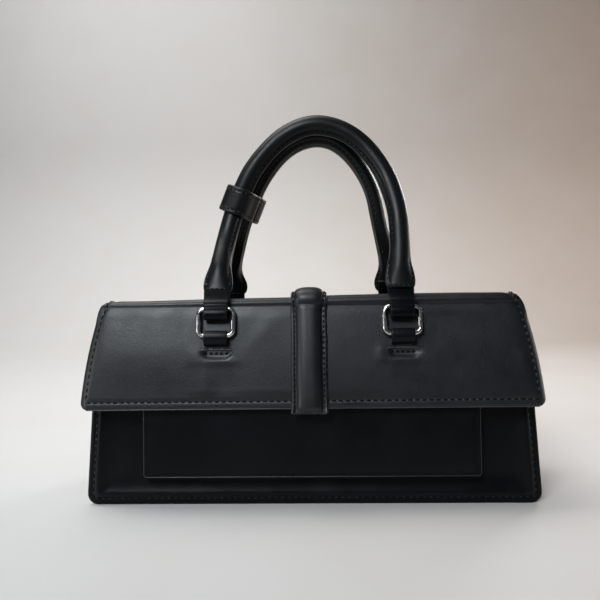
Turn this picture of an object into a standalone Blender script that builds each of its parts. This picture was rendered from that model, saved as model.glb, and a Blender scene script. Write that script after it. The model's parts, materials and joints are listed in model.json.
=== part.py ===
"""Flap bag with two rolled top handles, built piece by piece as it is sewn.

Frame: metres, +Z up, +X to the viewer's right, -Y to the front.
The origin is the centre of the base's underside.
"""
import math

import bmesh
import bpy
from mathutils import Vector

# Clearances
SEAT_GAP = 0.0003
RUNNING_GAP = 0.0003

# Body: two stiff panels, two gussets and a base
BASE_WIDTH = 0.270
TOP_WIDTH = 0.2555
BASE_DEPTH = 0.077
TOP_DEPTH = 0.062
BODY_HEIGHT = 0.1185
PANEL_WALL = 0.0024
PANEL_FOOT_RADIUS = 0.0065
PANEL_TOP_RADIUS = 0.016
GUSSET_WALL = 0.0018
GUSSET_INSET = 0.0035
GUSSET_TOP_DROP = 0.012
GUSSET_FOLD = 0.003
BASE_WALL = 0.0022
BOARD_WALL = 0.0020
BOARD_CORNER_RADIUS = 0.004
LINING_WALL = 0.0008
LINING_TOP_DROP = 0.006

# Front pocket
POCKET_WIDTH = 0.200
POCKET_FOOT_HEIGHT = 0.0168
POCKET_TOP_HEIGHT = 0.0665
POCKET_PROUD = 0.008
POCKET_WALL = 0.0018
POCKET_BEVEL = 0.0028
POCKET_CORNER_RADIUS = 0.003

# Flap
FLAP_WALL = 0.0020
FLAP_LINING_WALL = 0.0009
FLAP_FOOT_HEIGHT = 0.0596
FLAP_POCKET_GAP = 0.0019
FLAP_FOOT_WIDTH = 0.2678
FLAP_SHOULDER_WIDTH = 0.2511
FLAP_FOOT_RADIUS = 0.0047
FLAP_SHOULDER_DROP = 0.009
FLAP_SHOULDER_INSET = 0.006
FLAP_CREST_RADIUS = 0.004
FLAP_REAR_RADIUS = 0.0032
FLAP_LINING_MARGIN = 0.0025
REAR_MARGIN_HEIGHT = 0.040
REAR_MARGIN_INSET = 0.0015

# Centre strap, padded and sewn on the flap
STRAP_WIDTH = 0.0205
STRAP_WALL = 0.0014
STRAP_DOME_WIDTH = 0.0140
STRAP_RISE = 0.0050
STRAP_OVERHANG = 0.0030
STRAP_REAR_STOP = 0.008

# Magnetic snap under the flap
SNAP_RISE = 0.015
SNAP_RADIUS = 0.0070
SNAP_PLAY = 0.0015
SNAP_SOCKET_BORE_RADIUS = 0.0040
SNAP_STUD_DEPTH = 0.0012
SNAP_NOSE_RADIUS = 0.0020
SNAP_NOSE_LENGTH = 0.0022

# Rings and the leather that holds them
RING_SPREAD = 0.109
RING_WIDTH = 0.0205
RING_HEIGHT = 0.0155
RING_CORNER_RADIUS = 0.0029
RING_WIRE_RADIUS = 0.0014
RING_FOOT_DROP = 0.0210
LOOP_WALL = 0.0016
LOOP_WIDTH = 0.0140
CHAPE_LENGTH = 0.0090
TAB_LENGTH = 0.0200
TAB_NECK_HEIGHT = 0.0052

# Handles
HANDLE_RADIUS = 0.0062
HANDLE_WALL = 0.0016
BELL_START = 0.0115
BELL_STRAIGHT = 0.0250
BELL_HALF_WIDTH = 0.0097
BELL_HALF_DEPTH = 0.0044
BELL_LENGTH = 0.026
BELL_PLATEAU = 0.009
CORE_GAP = 0.0003
FRONT_HANDLE_RISE = 0.1146
REAR_HANDLE_RISE = 0.1100
FRONT_APEX_DEPTH = -0.0058
REAR_APEX_DEPTH = 0.0063

# Route of each handle from its left bar to its right bar, past the sewn ends:
# share of the half spread, share of the way from apex depth to bar depth, share of the rise
FRONT_ROUTE_SHARES = (
    (-0.990, 0.53, 0.240),
    (-0.954, 0.22, 0.352),
    (-0.888, 0.04, 0.490),
    (-0.761, 0.01, 0.649),
    (-0.630, 0.00, 0.766),
    (-0.452, 0.00, 0.868),
    (-0.260, 0.00, 0.943),
    (-0.040, 0.00, 0.993),
    (0.130, 0.00, 1.000),
    (0.385, 0.00, 0.972),
    (0.570, 0.02, 0.914),
    (0.740, 0.07, 0.828),
    (0.890, 0.15, 0.710),
    (0.974, 0.27, 0.590),
    (1.015, 0.41, 0.467),
    (1.018, 0.56, 0.337),
    (1.000, 0.71, 0.230),
)
REAR_ROUTE_SHARES = (
    (-0.990, 0.59, 0.240),
    (-0.902, 0.24, 0.350),
    (-0.803, 0.05, 0.506),
    (-0.665, 0.01, 0.666),
    (-0.526, 0.00, 0.789),
    (-0.352, 0.00, 0.893),
    (-0.149, 0.00, 0.968),
    (0.090, 0.00, 1.000),
    (0.345, 0.02, 0.974),
    (0.529, 0.07, 0.903),
    (0.700, 0.15, 0.797),
    (0.815, 0.25, 0.684),
    (0.880, 0.39, 0.542),
    (0.925, 0.54, 0.405),
    (0.990, 0.73, 0.250),
)

# Keeper round both handles
KEEPER_SHARE = 0.573
KEEPER_HEIGHT = 0.0155
KEEPER_FRONT_WALL = 0.0017
KEEPER_REAR_WALL = 0.0012
KEEPER_SLACK = 0.0015

# Mesh fineness
ARC_STEPS = 4
BEND_STEPS = 6
TUBE_SIDES = 12
CORE_SIDES = 8
WIRE_SIDES = 8
DISC_SIDES = 20
HANDLE_STATIONS = 34
CORE_STATIONS = 26
GUSSET_ROWS = 6
GUSSET_COLUMNS = 6
SMOOTH_ANGLE = math.radians(35)

LEATHER = ((0.012, 0.012, 0.014), 0.40, 0.0)
LINING_CLOTH = ((0.030, 0.027, 0.026), 0.85, 0.0)
BOARD = ((0.22, 0.19, 0.15), 0.80, 0.0)
PADDING = ((0.30, 0.30, 0.31), 0.90, 0.0)
NICKEL = ((0.78, 0.78, 0.77), 0.16, 1.0)


# Objects and meshes

def clear_scene():
    for obj in list(bpy.data.objects):
        bpy.data.objects.remove(obj, do_unlink=True)


def finish_material(name, finish):
    """A Principled material of its own for one piece."""
    colour, roughness, metallic = finish
    material = bpy.data.materials.new(name)
    material.use_nodes = True
    shader = material.node_tree.nodes["Principled BSDF"]
    shader.inputs["Base Color"].default_value = (*colour, 1.0)
    shader.inputs["Roughness"].default_value = roughness
    shader.inputs["Metallic"].default_value = metallic
    return material


def add_object(name, bm, finish):
    """Turn a bmesh into one named object with its faces pointing out."""
    bmesh.ops.recalc_face_normals(bm, faces=bm.faces)
    mesh = bpy.data.meshes.new(name)
    bm.to_mesh(mesh)
    bm.free()
    mesh.shade_smooth()
    mesh.set_sharp_from_angle(angle=SMOOTH_ANGLE)
    mesh.materials.append(finish_material(name, finish))
    obj = bpy.data.objects.new(name, mesh)
    bpy.context.scene.collection.objects.link(obj)
    return obj


def add_ring(bm, points):
    return [bm.verts.new(p) for p in points]


def join_rings(bm, a, b):
    """Quads between two rings with the same number of vertices."""
    count = len(a)
    for i in range(count):
        j = (i + 1) % count
        bm.faces.new((a[i], a[j], b[j], b[i]))


def skin(bm, rings):
    for a, b in zip(rings, rings[1:]):
        join_rings(bm, a, b)


def loft(name, sections, finish, closed=False):
    """A solid through successive sections, capped unless its path is closed."""
    bm = bmesh.new()
    rings = [add_ring(bm, points) for points in sections]
    skin(bm, rings)
    if closed:
        join_rings(bm, rings[-1], rings[0])
    else:
        bm.faces.new(rings[0])
        bm.faces.new(rings[-1])
    return add_object(name, bm, finish)


def sleeve(name, outer, inner, finish):
    """A hollow solid that is open at both ends."""
    bm = bmesh.new()
    outside = [add_ring(bm, points) for points in outer]
    inside = [add_ring(bm, points) for points in inner]
    skin(bm, outside)
    skin(bm, inside)
    join_rings(bm, outside[0], inside[0])
    join_rings(bm, outside[-1], inside[-1])
    return add_object(name, bm, finish)


def cup(name, outer, inner, finish):
    """A hollow solid with a floor, open at its last section."""
    bm = bmesh.new()
    outside = [add_ring(bm, points) for points in outer]
    inside = [add_ring(bm, points) for points in inner]
    skin(bm, outside)
    skin(bm, inside)
    bm.faces.new(outside[0])
    bm.faces.new(inside[0])
    join_rings(bm, outside[-1], inside[-1])
    return add_object(name, bm, finish)


# Plane geometry

def rounded_outline(corners, radii):
    """A closed outline through corners, each rounded by its own radius."""
    points = []
    count = len(corners)
    for i in range(count):
        corner = Vector(corners[i])
        to_last = (Vector(corners[i - 1]) - corner).normalized()
        to_next = (Vector(corners[(i + 1) % count]) - corner).normalized()
        radius = radii[i]
        if radius == 0:
            points.append(corner)
            continue
        half_angle = to_last.angle(to_next) / 2
        reach = radius / math.tan(half_angle)
        inward = (to_last + to_next).normalized()
        centre = corner + inward * (radius / math.sin(half_angle))
        start = corner + to_last * reach - centre
        turn = start.angle_signed(corner + to_next * reach - centre)
        for k in range(ARC_STEPS + 1):
            angle = -turn * k / ARC_STEPS
            spoke = Vector((
                start.x * math.cos(angle) - start.y * math.sin(angle),
                start.x * math.sin(angle) + start.y * math.cos(angle),
            ))
            points.append(centre + spoke)
    return points


def circle(radius, sides):
    """Points of a circle as (u, v) pairs."""
    turns = [2 * math.pi * k / sides for k in range(sides)]
    return [(radius * math.cos(t), radius * math.sin(t)) for t in turns]


# The body's own surfaces

def side_share(height):
    return height / BODY_HEIGHT


def half_width(height):
    """Half the panel's width at a height."""
    return (BASE_WIDTH - (BASE_WIDTH - TOP_WIDTH) * side_share(height)) / 2


def half_depth(height):
    """Distance from the middle plane to a panel's outer face at a height."""
    return (BASE_DEPTH - (BASE_DEPTH - TOP_DEPTH) * side_share(height)) / 2


def panel_lean():
    return math.atan2((BASE_DEPTH - TOP_DEPTH) / 2, BODY_HEIGHT)


def inner_half_depth(height):
    return half_depth(height) - PANEL_WALL / math.cos(panel_lean())


def gusset_outer(height):
    return half_width(height) - GUSSET_INSET


def panel(name, side):
    """The front (side -1) or back (side 1) panel, a leaning slab with rounded corners."""
    corners = (
        (-half_width(0), 0),
        (half_width(0), 0),
        (half_width(BODY_HEIGHT), BODY_HEIGHT),
        (-half_width(BODY_HEIGHT), BODY_HEIGHT),
    )
    radii = (PANEL_FOOT_RADIUS, PANEL_FOOT_RADIUS, PANEL_TOP_RADIUS, PANEL_TOP_RADIUS)
    outline = rounded_outline(corners, radii)
    outer = [(p.x, side * half_depth(p.y), p.y) for p in outline]
    inner = [(p.x, side * inner_half_depth(p.y), p.y) for p in outline]
    return loft(name, (outer, inner), LEATHER)


def gusset(name, side):
    """A side wall with a shallow inward fold that deepens towards its top."""
    foot = BASE_WALL + SEAT_GAP
    top = BODY_HEIGHT - GUSSET_TOP_DROP
    sections = []
    for row in range(GUSSET_ROWS + 1):
        share = row / GUSSET_ROWS
        height = foot + (top - foot) * share
        reach = inner_half_depth(height) - SEAT_GAP
        outer, inner = [], []
        for column in range(GUSSET_COLUMNS + 1):
            across = 2 * column / GUSSET_COLUMNS - 1
            fold = GUSSET_FOLD * share * (1 - across * across)
            x = gusset_outer(height) - fold
            outer.append((side * x, reach * across, height))
            inner.append((side * (x - GUSSET_WALL), reach * across, height))
        sections.append(outer + inner[::-1])
    return loft(name, sections, LEATHER)


def slab(name, half_x, half_y, foot, wall, radius, finish):
    """A level plate with rounded corners."""
    corners = ((-half_x, -half_y), (half_x, -half_y), (half_x, half_y), (-half_x, half_y))
    outline = rounded_outline(corners, (radius,) * len(corners))
    sections = [[(p.x, p.y, height) for p in outline] for height in (foot, foot + wall)]
    return loft(name, sections, finish)


def base_pieces():
    half_y = inner_half_depth(BASE_WALL) - SEAT_GAP
    half_x = half_width(0) - GUSSET_INSET
    slab("base_panel", half_x, half_y, 0, BASE_WALL, BOARD_CORNER_RADIUS, LEATHER)
    foot = BASE_WALL + SEAT_GAP
    board_y = inner_half_depth(foot + BOARD_WALL) - SEAT_GAP
    board_x = gusset_outer(foot + BOARD_WALL) - GUSSET_WALL - SEAT_GAP
    slab("base_board", board_x, board_y, foot, BOARD_WALL, BOARD_CORNER_RADIUS, BOARD)


def lining():
    """The cloth bag inside, open at the top, a seat gap off the walls."""
    foot = BASE_WALL + BOARD_WALL + 2 * SEAT_GAP
    top = BODY_HEIGHT - LINING_TOP_DROP
    end_gap = GUSSET_WALL + GUSSET_FOLD + SEAT_GAP

    def section(height, wall):
        x = gusset_outer(height) - end_gap - wall
        y = inner_half_depth(height) - SEAT_GAP - wall
        return [(-x, -y, height), (x, -y, height), (x, y, height), (-x, y, height)]

    outer = [section(foot, 0), section(top, 0)]
    inner = [section(foot + LINING_WALL, LINING_WALL), section(top, LINING_WALL)]
    return cup("lining", outer, inner, LINING_CLOTH)


def pocket_outline(inset, top):
    """The pocket's outline in front view, drawn in by an inset and cut at a top."""
    x = POCKET_WIDTH / 2 - inset
    foot = POCKET_FOOT_HEIGHT + inset
    corners = ((-x, foot), (x, foot), (x, top), (-x, top))
    return rounded_outline(corners, (POCKET_CORNER_RADIUS, POCKET_CORNER_RADIUS, 0, 0))


def pocket_section(outline, proud):
    return [(p.x, -half_depth(p.y) - proud, p.y) for p in outline]


def front_pocket():
    """A box pocket, open at the back, where the panel closes it, and at the top."""
    edge = pocket_outline(0, POCKET_TOP_HEIGHT)
    face = pocket_outline(POCKET_BEVEL, POCKET_TOP_HEIGHT)
    sections = (
        pocket_section(edge, SEAT_GAP),
        pocket_section(edge, POCKET_PROUD - POCKET_BEVEL),
        pocket_section(face, POCKET_PROUD),
    )
    pocket = loft("front_pocket", sections, LEATHER)
    over = POCKET_TOP_HEIGHT + POCKET_WALL
    hollow = pocket_outline(POCKET_WALL, over)
    deep_hollow = pocket_outline(POCKET_WALL + POCKET_BEVEL, over)
    cutter = loft("pocket_hollow", (
        pocket_section(hollow, -POCKET_WALL),
        pocket_section(hollow, POCKET_PROUD - POCKET_BEVEL - POCKET_WALL),
        pocket_section(deep_hollow, POCKET_PROUD - POCKET_WALL),
    ), LEATHER)
    cutter.hide_render = True
    cutter.display_type = "WIRE"
    cut = pocket.modifiers.new("hollow", "BOOLEAN")
    cut.operation = "DIFFERENCE"
    cut.solver = "EXACT"
    cut.object = cutter


# The flap, drawn in side view as (y, z) points with outward normals

def flap_top_height():
    stack = FLAP_LINING_WALL + FLAP_WALL + 2 * SEAT_GAP
    return BODY_HEIGHT + stack


def flap_crest_depth():
    return half_depth(BODY_HEIGHT) + FLAP_LINING_WALL + FLAP_WALL + 3 * SEAT_GAP


def flap_lean():
    """How far the flap's front leans out of the vertical to clear the pocket's mouth."""
    stack = FLAP_WALL + FLAP_LINING_WALL + SEAT_GAP
    pocket_face = half_depth(POCKET_TOP_HEIGHT) + POCKET_PROUD
    run = pocket_face + FLAP_POCKET_GAP + stack - flap_crest_depth()
    return math.atan2(run, flap_top_height() - POCKET_TOP_HEIGHT)


def front_face_point(height):
    """A point of the flap's outer front face in side view."""
    y = -flap_crest_depth() - (flap_top_height() - height) * math.tan(flap_lean())
    return Vector((y, height))


def front_face_normal():
    return Vector((-math.cos(flap_lean()), math.sin(flap_lean())))


def hinge_point():
    """The flap's hinge line in side view, at the outer top edge behind."""
    y = rear_face_depth(BODY_HEIGHT)
    return Vector((y, BODY_HEIGHT + SEAT_GAP / 2))


def rear_face_depth(height):
    """Outer face of the flap's sewn rear margin."""
    return half_depth(height) + SEAT_GAP + FLAP_WALL


def crest_centre():
    """Centre of the bend over the front edge."""
    height = flap_top_height() - FLAP_CREST_RADIUS
    on_face = front_face_point(height + FLAP_CREST_RADIUS * math.sin(flap_lean()))
    return on_face - front_face_normal() * FLAP_CREST_RADIUS


def flap_front_stations():
    """Foot to shoulder: closer together where the outline rounds."""
    heights = []
    for k in range(ARC_STEPS + 1):
        angle = math.pi / 2 * k / ARC_STEPS
        heights.append(FLAP_FOOT_HEIGHT + FLAP_FOOT_RADIUS * (1 - math.cos(angle)))
    shoulder = flap_top_height() - FLAP_SHOULDER_DROP
    bend = crest_centre().y + FLAP_CREST_RADIUS * math.sin(flap_lean())
    heights += [shoulder, (shoulder + bend) / 2]
    return [(front_face_point(h), front_face_normal()) for h in heights]


def bend_stations(centre, radius, start, end):
    """An arc of (point, normal) pairs between two angles from the +y axis."""
    stations = []
    for k in range(BEND_STEPS + 1):
        angle = start + (end - start) * k / BEND_STEPS
        normal = Vector((math.cos(angle), math.sin(angle)))
        stations.append((centre + normal * radius, normal))
    return stations


def flap_stations():
    """The flap's outer face from its foot over the top to the hinge."""
    face_angle = math.pi - flap_lean()
    stations = flap_front_stations()
    stations += bend_stations(crest_centre(), FLAP_CREST_RADIUS, face_angle, math.pi / 2)
    rear_centre = Vector((
        hinge_point().x - FLAP_REAR_RADIUS,
        flap_top_height() - FLAP_REAR_RADIUS,
    ))
    stations += bend_stations(rear_centre, FLAP_REAR_RADIUS, math.pi / 2, 0)
    last, normal = stations[-1]
    stations[-1] = (Vector((last.x, max(last.y, hinge_point().y + SEAT_GAP / 2))), normal)
    return stations


def flap_half_width(height, front):
    """Half the flap's width: flared on the front, drawn in at the corners."""
    top = flap_top_height()
    share = (height - FLAP_FOOT_HEIGHT) / (top - FLAP_FOOT_HEIGHT)
    flare = FLAP_FOOT_WIDTH + (FLAP_SHOULDER_WIDTH - FLAP_FOOT_WIDTH) * share
    if not front:
        return FLAP_SHOULDER_WIDTH / 2 - FLAP_SHOULDER_INSET
    rise = max(0, height - (top - FLAP_SHOULDER_DROP)) / FLAP_SHOULDER_DROP
    shoulder = FLAP_SHOULDER_INSET * (1 - math.sqrt(1 - min(1, rise) ** 2))
    drop = max(0, FLAP_FOOT_HEIGHT + FLAP_FOOT_RADIUS - height) / FLAP_FOOT_RADIUS
    foot = FLAP_FOOT_RADIUS * (1 - math.sqrt(1 - min(1, drop) ** 2))
    return flare / 2 - shoulder - foot


def flap_sheet(name, stations, depth, wall, margin, finish):
    """One layer of the flap: a sheet that starts at a depth under the outer face."""
    sections = []
    for point, normal in stations:
        front = normal.x < 0
        x = flap_half_width(point.y, front) - margin
        outer = point - normal * depth
        inner = point - normal * (depth + wall)
        sections.append([
            (-x, outer.x, outer.y),
            (x, outer.x, outer.y),
            (x, inner.x, inner.y),
            (-x, inner.x, inner.y),
        ])
    return loft(name, sections, finish)


def flap_pieces():
    stations = flap_stations()
    flap_sheet("flap", stations, 0, FLAP_WALL, 0, LEATHER)
    margin = FLAP_LINING_MARGIN
    lift = front_face_point(FLAP_FOOT_HEIGHT + margin)
    inside = [(lift, front_face_normal())]
    inside += [s for s in stations[:-1 - BEND_STEPS] if s[0].y > lift.y + margin]
    inside.append((stations[-1 - BEND_STEPS][0], stations[-1 - BEND_STEPS][1]))
    flap_sheet("flap_lining", inside, FLAP_WALL + SEAT_GAP, FLAP_LINING_WALL, margin, LINING_CLOTH)


def rear_margin():
    """The flap's rear margin, sewn flat on the back panel below the hinge."""
    foot = BODY_HEIGHT - REAR_MARGIN_HEIGHT
    foot_x = half_width(foot) - REAR_MARGIN_INSET
    top_x = FLAP_SHOULDER_WIDTH / 2
    corners = ((-foot_x, foot), (foot_x, foot), (top_x, BODY_HEIGHT), (-top_x, BODY_HEIGHT))
    radii = (FLAP_FOOT_RADIUS, FLAP_FOOT_RADIUS, FLAP_SHOULDER_INSET, FLAP_SHOULDER_INSET)
    outline = rounded_outline(corners, radii)
    outer = [(p.x, rear_face_depth(p.y), p.y) for p in outline]
    inner = [(p.x, half_depth(p.y) + SEAT_GAP, p.y) for p in outline]
    return loft("flap_rear_margin", (outer, inner), LEATHER)


# The centre strap

def strap_stations():
    """The flap's stations with an overhang at the foot and a stop before the hinge."""
    stations = flap_stations()
    foot, normal = stations[0]
    along = Vector((-normal.y, normal.x))
    start = foot + along * STRAP_OVERHANG
    stop = Vector((hinge_point().x - STRAP_REAR_STOP, flap_top_height()))
    kept = [(start, normal)] + [s for s in stations[1:] if s[0].x < stop.x]
    kept.append((stop, Vector((0, 1))))
    return kept


def place_on_flap(station, profile):
    """Profile points (across, off the face) set on one station of the flap."""
    point, normal = station
    return [(u, point.x + normal.x * v, point.y + normal.y * v) for u, v in profile]


def dome_arc(half, foot, crown):
    """A low arch from one side to the other, as (across, height) points."""
    points = []
    steps = 2 * ARC_STEPS
    for k in range(steps + 1):
        angle = math.pi * (1 - k / steps)
        points.append((half * math.cos(angle), foot + (crown - foot) * math.sin(angle)))
    return points


def centre_strap():
    """A padded strap: sewn flanges at both sides of a hollow dome, and its filler."""
    edge = STRAP_WIDTH / 2
    half = STRAP_DOME_WIDTH / 2
    flange_top = SEAT_GAP + STRAP_WALL
    outside = [(-edge, flange_top)] + dome_arc(half, flange_top, STRAP_RISE) + [(edge, flange_top)]
    hollow = half - STRAP_WALL
    inside = [(edge, SEAT_GAP)]
    inside += dome_arc(hollow, SEAT_GAP, STRAP_RISE - STRAP_WALL)[::-1]
    inside += [(-edge, SEAT_GAP)]
    stations = strap_stations()
    shell = [place_on_flap(s, outside + inside) for s in stations]
    loft("centre_strap", shell, LEATHER)
    filler_half = hollow - SEAT_GAP
    crown = STRAP_RISE - STRAP_WALL - SEAT_GAP
    filler = dome_arc(filler_half, 2 * SEAT_GAP, crown)
    loft("strap_filler", [place_on_flap(s, filler) for s in stations[1:-1]], PADDING)


# The magnetic snap

def disc_sections(centre, axis, steps):
    """Circles of given radii at given distances along an axis in the side view."""
    axis3 = Vector((0, axis.x, axis.y))
    up = Vector((0, -axis.y, axis.x))
    sections = []
    for distance, radius in steps:
        middle = Vector((0, centre.x, centre.y)) + axis3 * distance
        ring = [
            middle + Vector((u, 0, 0)) + up * v
            for u, v in circle(radius, DISC_SIDES)
        ]
        sections.append(ring)
    return sections


def magnetic_snap():
    """Socket on the front panel just above the pocket, stud on the flap's lining.

    The socket is as deep as the room between them allows, less the play.
    """
    lean = panel_lean()
    height = POCKET_TOP_HEIGHT + SNAP_RISE
    out = Vector((-math.cos(lean), math.sin(lean)))
    seat = Vector((-half_depth(height), height))
    under = FLAP_WALL + FLAP_LINING_WALL + 2 * SEAT_GAP
    face = front_face_point(height) - front_face_normal() * under
    room = seat.x - face.x
    depth = room - SNAP_PLAY - SNAP_STUD_DEPTH - SEAT_GAP
    ends = (SEAT_GAP, depth)
    outer = disc_sections(seat, out, [(d, SNAP_RADIUS) for d in ends])
    inner = disc_sections(seat, out, [(d, SNAP_SOCKET_BORE_RADIUS) for d in ends])
    sleeve("snap_socket", outer, inner, NICKEL)
    plate = SNAP_STUD_DEPTH
    steps = (
        (0, SNAP_RADIUS),
        (plate, SNAP_RADIUS),
        (plate, SNAP_NOSE_RADIUS),
        (plate + SNAP_NOSE_LENGTH, SNAP_NOSE_RADIUS),
    )
    loft("snap_stud", disc_sections(face, -front_face_normal(), steps), NICKEL)


# Rings, chapes and tabs

def ring_stand_off():
    """Distance from a leather face to the bar of a ring that is sewn on it."""
    return RUNNING_GAP + loop_radius()


def loop_radius():
    return RING_WIRE_RADIUS + RUNNING_GAP + LOOP_WALL


def ring_foot_height():
    return flap_top_height() - RING_FOOT_DROP


def front_bars():
    """Lower and upper bar of a front ring in side view."""
    face = front_face_point(ring_foot_height())
    lower = face + front_face_normal() * ring_stand_off()
    along = Vector((front_face_normal().y, -front_face_normal().x))
    return lower, lower + along * RING_HEIGHT


def rear_bars():
    """Lower and upper bar of a rear ring in side view."""
    lean = panel_lean()
    normal = Vector((math.cos(lean), math.sin(lean)))
    face = Vector((rear_face_depth(ring_foot_height()), ring_foot_height()))
    lower = face + normal * ring_stand_off()
    along = Vector((-normal.y, normal.x))
    return lower, lower + along * RING_HEIGHT


def ring_outline():
    """Centre line of the wire, from the lower bar up, as (across, along) points."""
    half = RING_WIDTH / 2
    corners = ((-half, 0), (half, 0), (half, RING_HEIGHT), (-half, RING_HEIGHT))
    return rounded_outline(corners, (RING_CORNER_RADIUS,) * len(corners))


def wire_ring(name, across, bars):
    """A rounded rectangle of wire that stands on its lower bar."""
    lower, upper = bars
    along = (upper - lower).normalized()
    outline = ring_outline()
    middle = Vector((0, RING_HEIGHT / 2))
    side = Vector((0, along.y, -along.x))
    sections = []
    count = len(outline)
    for i in range(count):
        tangent = (outline[(i + 1) % count] - outline[i - 1]).normalized()
        away = Vector((tangent.y, -tangent.x))
        if away.dot(outline[i] - middle) < 0:
            away = -away
        section = []
        for u, v in circle(RING_WIRE_RADIUS, WIRE_SIDES):
            flat = outline[i] + away * u
            point = Vector((
                across + flat.x,
                lower.x + along.x * flat.y,
                lower.y + along.y * flat.y,
            ))
            section.append(point + side * v)
        sections.append(section)
    return loft(name, sections, NICKEL, closed=True)


def loop_outline(neck_back, neck_front, neck_end, neck_start):
    """A strap folded round a bar at the origin, its neck along +v: (u, v) points.

    The neck lies between neck_back and neck_front and ends at neck_end.
    """
    radius = loop_radius()
    points = [(neck_front, neck_end), (neck_front, neck_start)]
    steps = 4 * ARC_STEPS
    first = math.acos(min(1, neck_front / radius)) / 2
    last = math.pi - math.acos(min(1, -neck_back / radius)) / 2
    for k in range(steps + 1):
        angle = first + (-2 * math.pi + last - first) * k / steps
        points.append((radius * math.cos(angle), radius * math.sin(angle)))
    points += [(neck_back, neck_start), (neck_back, neck_end)]
    return points


def strap_loop(name, across, bar, along, front, outline):
    """Extrude a folded strap along its bar, with a round eye for the wire."""
    eye = RING_WIRE_RADIUS + RUNNING_GAP
    angles = [math.atan2(v, u) for u, v in outline]
    hole = [(eye * math.cos(a), eye * math.sin(a)) for a in angles]

    def place(points, x):
        placed = []
        for u, v in points:
            flat = bar + front * u + along * v
            placed.append((across + x, flat.x, flat.y))
        return placed

    half = LOOP_WIDTH / 2
    outer = [place(outline, -half), place(outline, half)]
    inner = [place(hole, -half), place(hole, half)]
    return sleeve(name, outer, inner, LEATHER)


def chape(name, across, bar, normal):
    """The short strap that is sewn on a face and holds a ring's lower bar."""
    down = Vector((-normal.y, normal.x)) if normal.x < 0 else Vector((normal.y, -normal.x))
    back = -loop_radius()
    outline = loop_outline(back, 0, CHAPE_LENGTH, loop_radius())
    return strap_loop(name, across, bar, down, normal, outline)


def tab(name, across, bar, along):
    """The strap that joins a handle's end to a ring's upper bar."""
    front = Vector((-along.y, along.x))
    half = LOOP_WALL + RUNNING_GAP / 2
    outline = loop_outline(-half, half, TAB_LENGTH, TAB_NECK_HEIGHT)
    return strap_loop(name, across, bar, along, front, outline)


# Handles

def catmull_rom(points, per_span):
    """A smooth curve through the points after the first and before the last."""
    curve = []
    for i in range(1, len(points) - 2):
        a, b, c, d = points[i - 1:i + 3]
        for k in range(per_span):
            t = k / per_span
            curve.append(
                b
                + (c - a) * (t / 2)
                + (a * 2 - b * 5 + c * 4 - d) * (t * t / 2)
                + (b * 3 - a - c * 3 + d) * (t ** 3 / 2)
            )
    curve.append(points[-2].copy())
    return curve


def handle_knots(bar, apex_depth, rise, shares):
    """Bar to bar: the points that a handle's centre line passes through."""
    half = RING_SPREAD / 2
    arch = []
    for across, depth, up in shares:
        y = apex_depth + (bar.x - apex_depth) * depth
        arch.append(Vector((half * across, y, bar.y + rise * up)))
    ends = [Vector((side * half, bar.x, bar.y)) for side in (-1, 1)]
    left = (arch[0] - ends[0]).normalized()
    right = (arch[-1] - ends[1]).normalized()
    knots = [ends[0], ends[0] + left * BELL_START, ends[0] + left * BELL_STRAIGHT]
    knots += arch[1:-1]
    knots += [ends[1] + right * BELL_STRAIGHT, ends[1] + right * BELL_START, ends[1]]
    return knots


def spaced(curve, count):
    """Points at equal steps along a curve."""
    lengths = [0.0]
    for a, b in zip(curve, curve[1:]):
        lengths.append(lengths[-1] + (b - a).length)
    points = []
    k = 0
    for i in range(count):
        target = lengths[-1] * i / (count - 1)
        while k < len(curve) - 2 and lengths[k + 1] < target:
            k += 1
        share = (target - lengths[k]) / (lengths[k + 1] - lengths[k])
        points.append(curve[k].lerp(curve[k + 1], min(1, max(0, share))))
    return points


def handle_curve(knots):
    return catmull_rom(knots, 2 * BEND_STEPS)


def frames(points):
    """Tangent, outward direction and side direction at each point of an arch."""
    centre = sum(points, Vector()) / len(points)
    result = []
    last = len(points) - 1
    for i, point in enumerate(points):
        tangent = (points[min(i + 1, last)] - points[max(i - 1, 0)]).normalized()
        outward = point - centre
        outward.y = 0
        if abs(tangent.z) > abs(tangent.x):
            outward.z = 0
        outward = (outward - tangent * outward.dot(tangent)).normalized()
        result.append((tangent, outward, tangent.cross(outward)))
    return result


def bell_share(travel, total):
    """0 along the tube, rising smoothly to 1 at the flattened, sewn ends."""
    near = min(travel, total - travel)
    share = min(1.0, max(0.0, (BELL_LENGTH - near) / (BELL_LENGTH - BELL_PLATEAU)))
    return share * share * (3 - 2 * share)


def oval(half_width_value, half_depth_value, power, sides):
    """A superellipse as (u, v) points."""
    points = []
    for k in range(sides):
        angle = 2 * math.pi * k / sides
        c, s = math.cos(angle), math.sin(angle)
        u = half_width_value * math.copysign(abs(c) ** (2 / power), c)
        v = half_depth_value * math.copysign(abs(s) ** (2 / power), s)
        points.append((u, v))
    return points


def handle_sections(points, inset):
    """Sections of a handle's cover, drawn in by an inset."""
    total = sum((b - a).length for a, b in zip(points, points[1:]))
    travel = 0.0
    sections = []
    for i, (point, frame) in enumerate(zip(points, frames(points))):
        if i:
            travel += (point - points[i - 1]).length
        share = bell_share(travel, total)
        wide = HANDLE_RADIUS + (BELL_HALF_WIDTH - HANDLE_RADIUS) * share - inset
        deep = HANDLE_RADIUS + (BELL_HALF_DEPTH - HANDLE_RADIUS) * share - inset
        outline = oval(wide, deep, 2 + 2 * share, TUBE_SIDES)
        _, outward, side = frame
        sections.append([point + outward * u + side * v for u, v in outline])
    return sections


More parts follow.
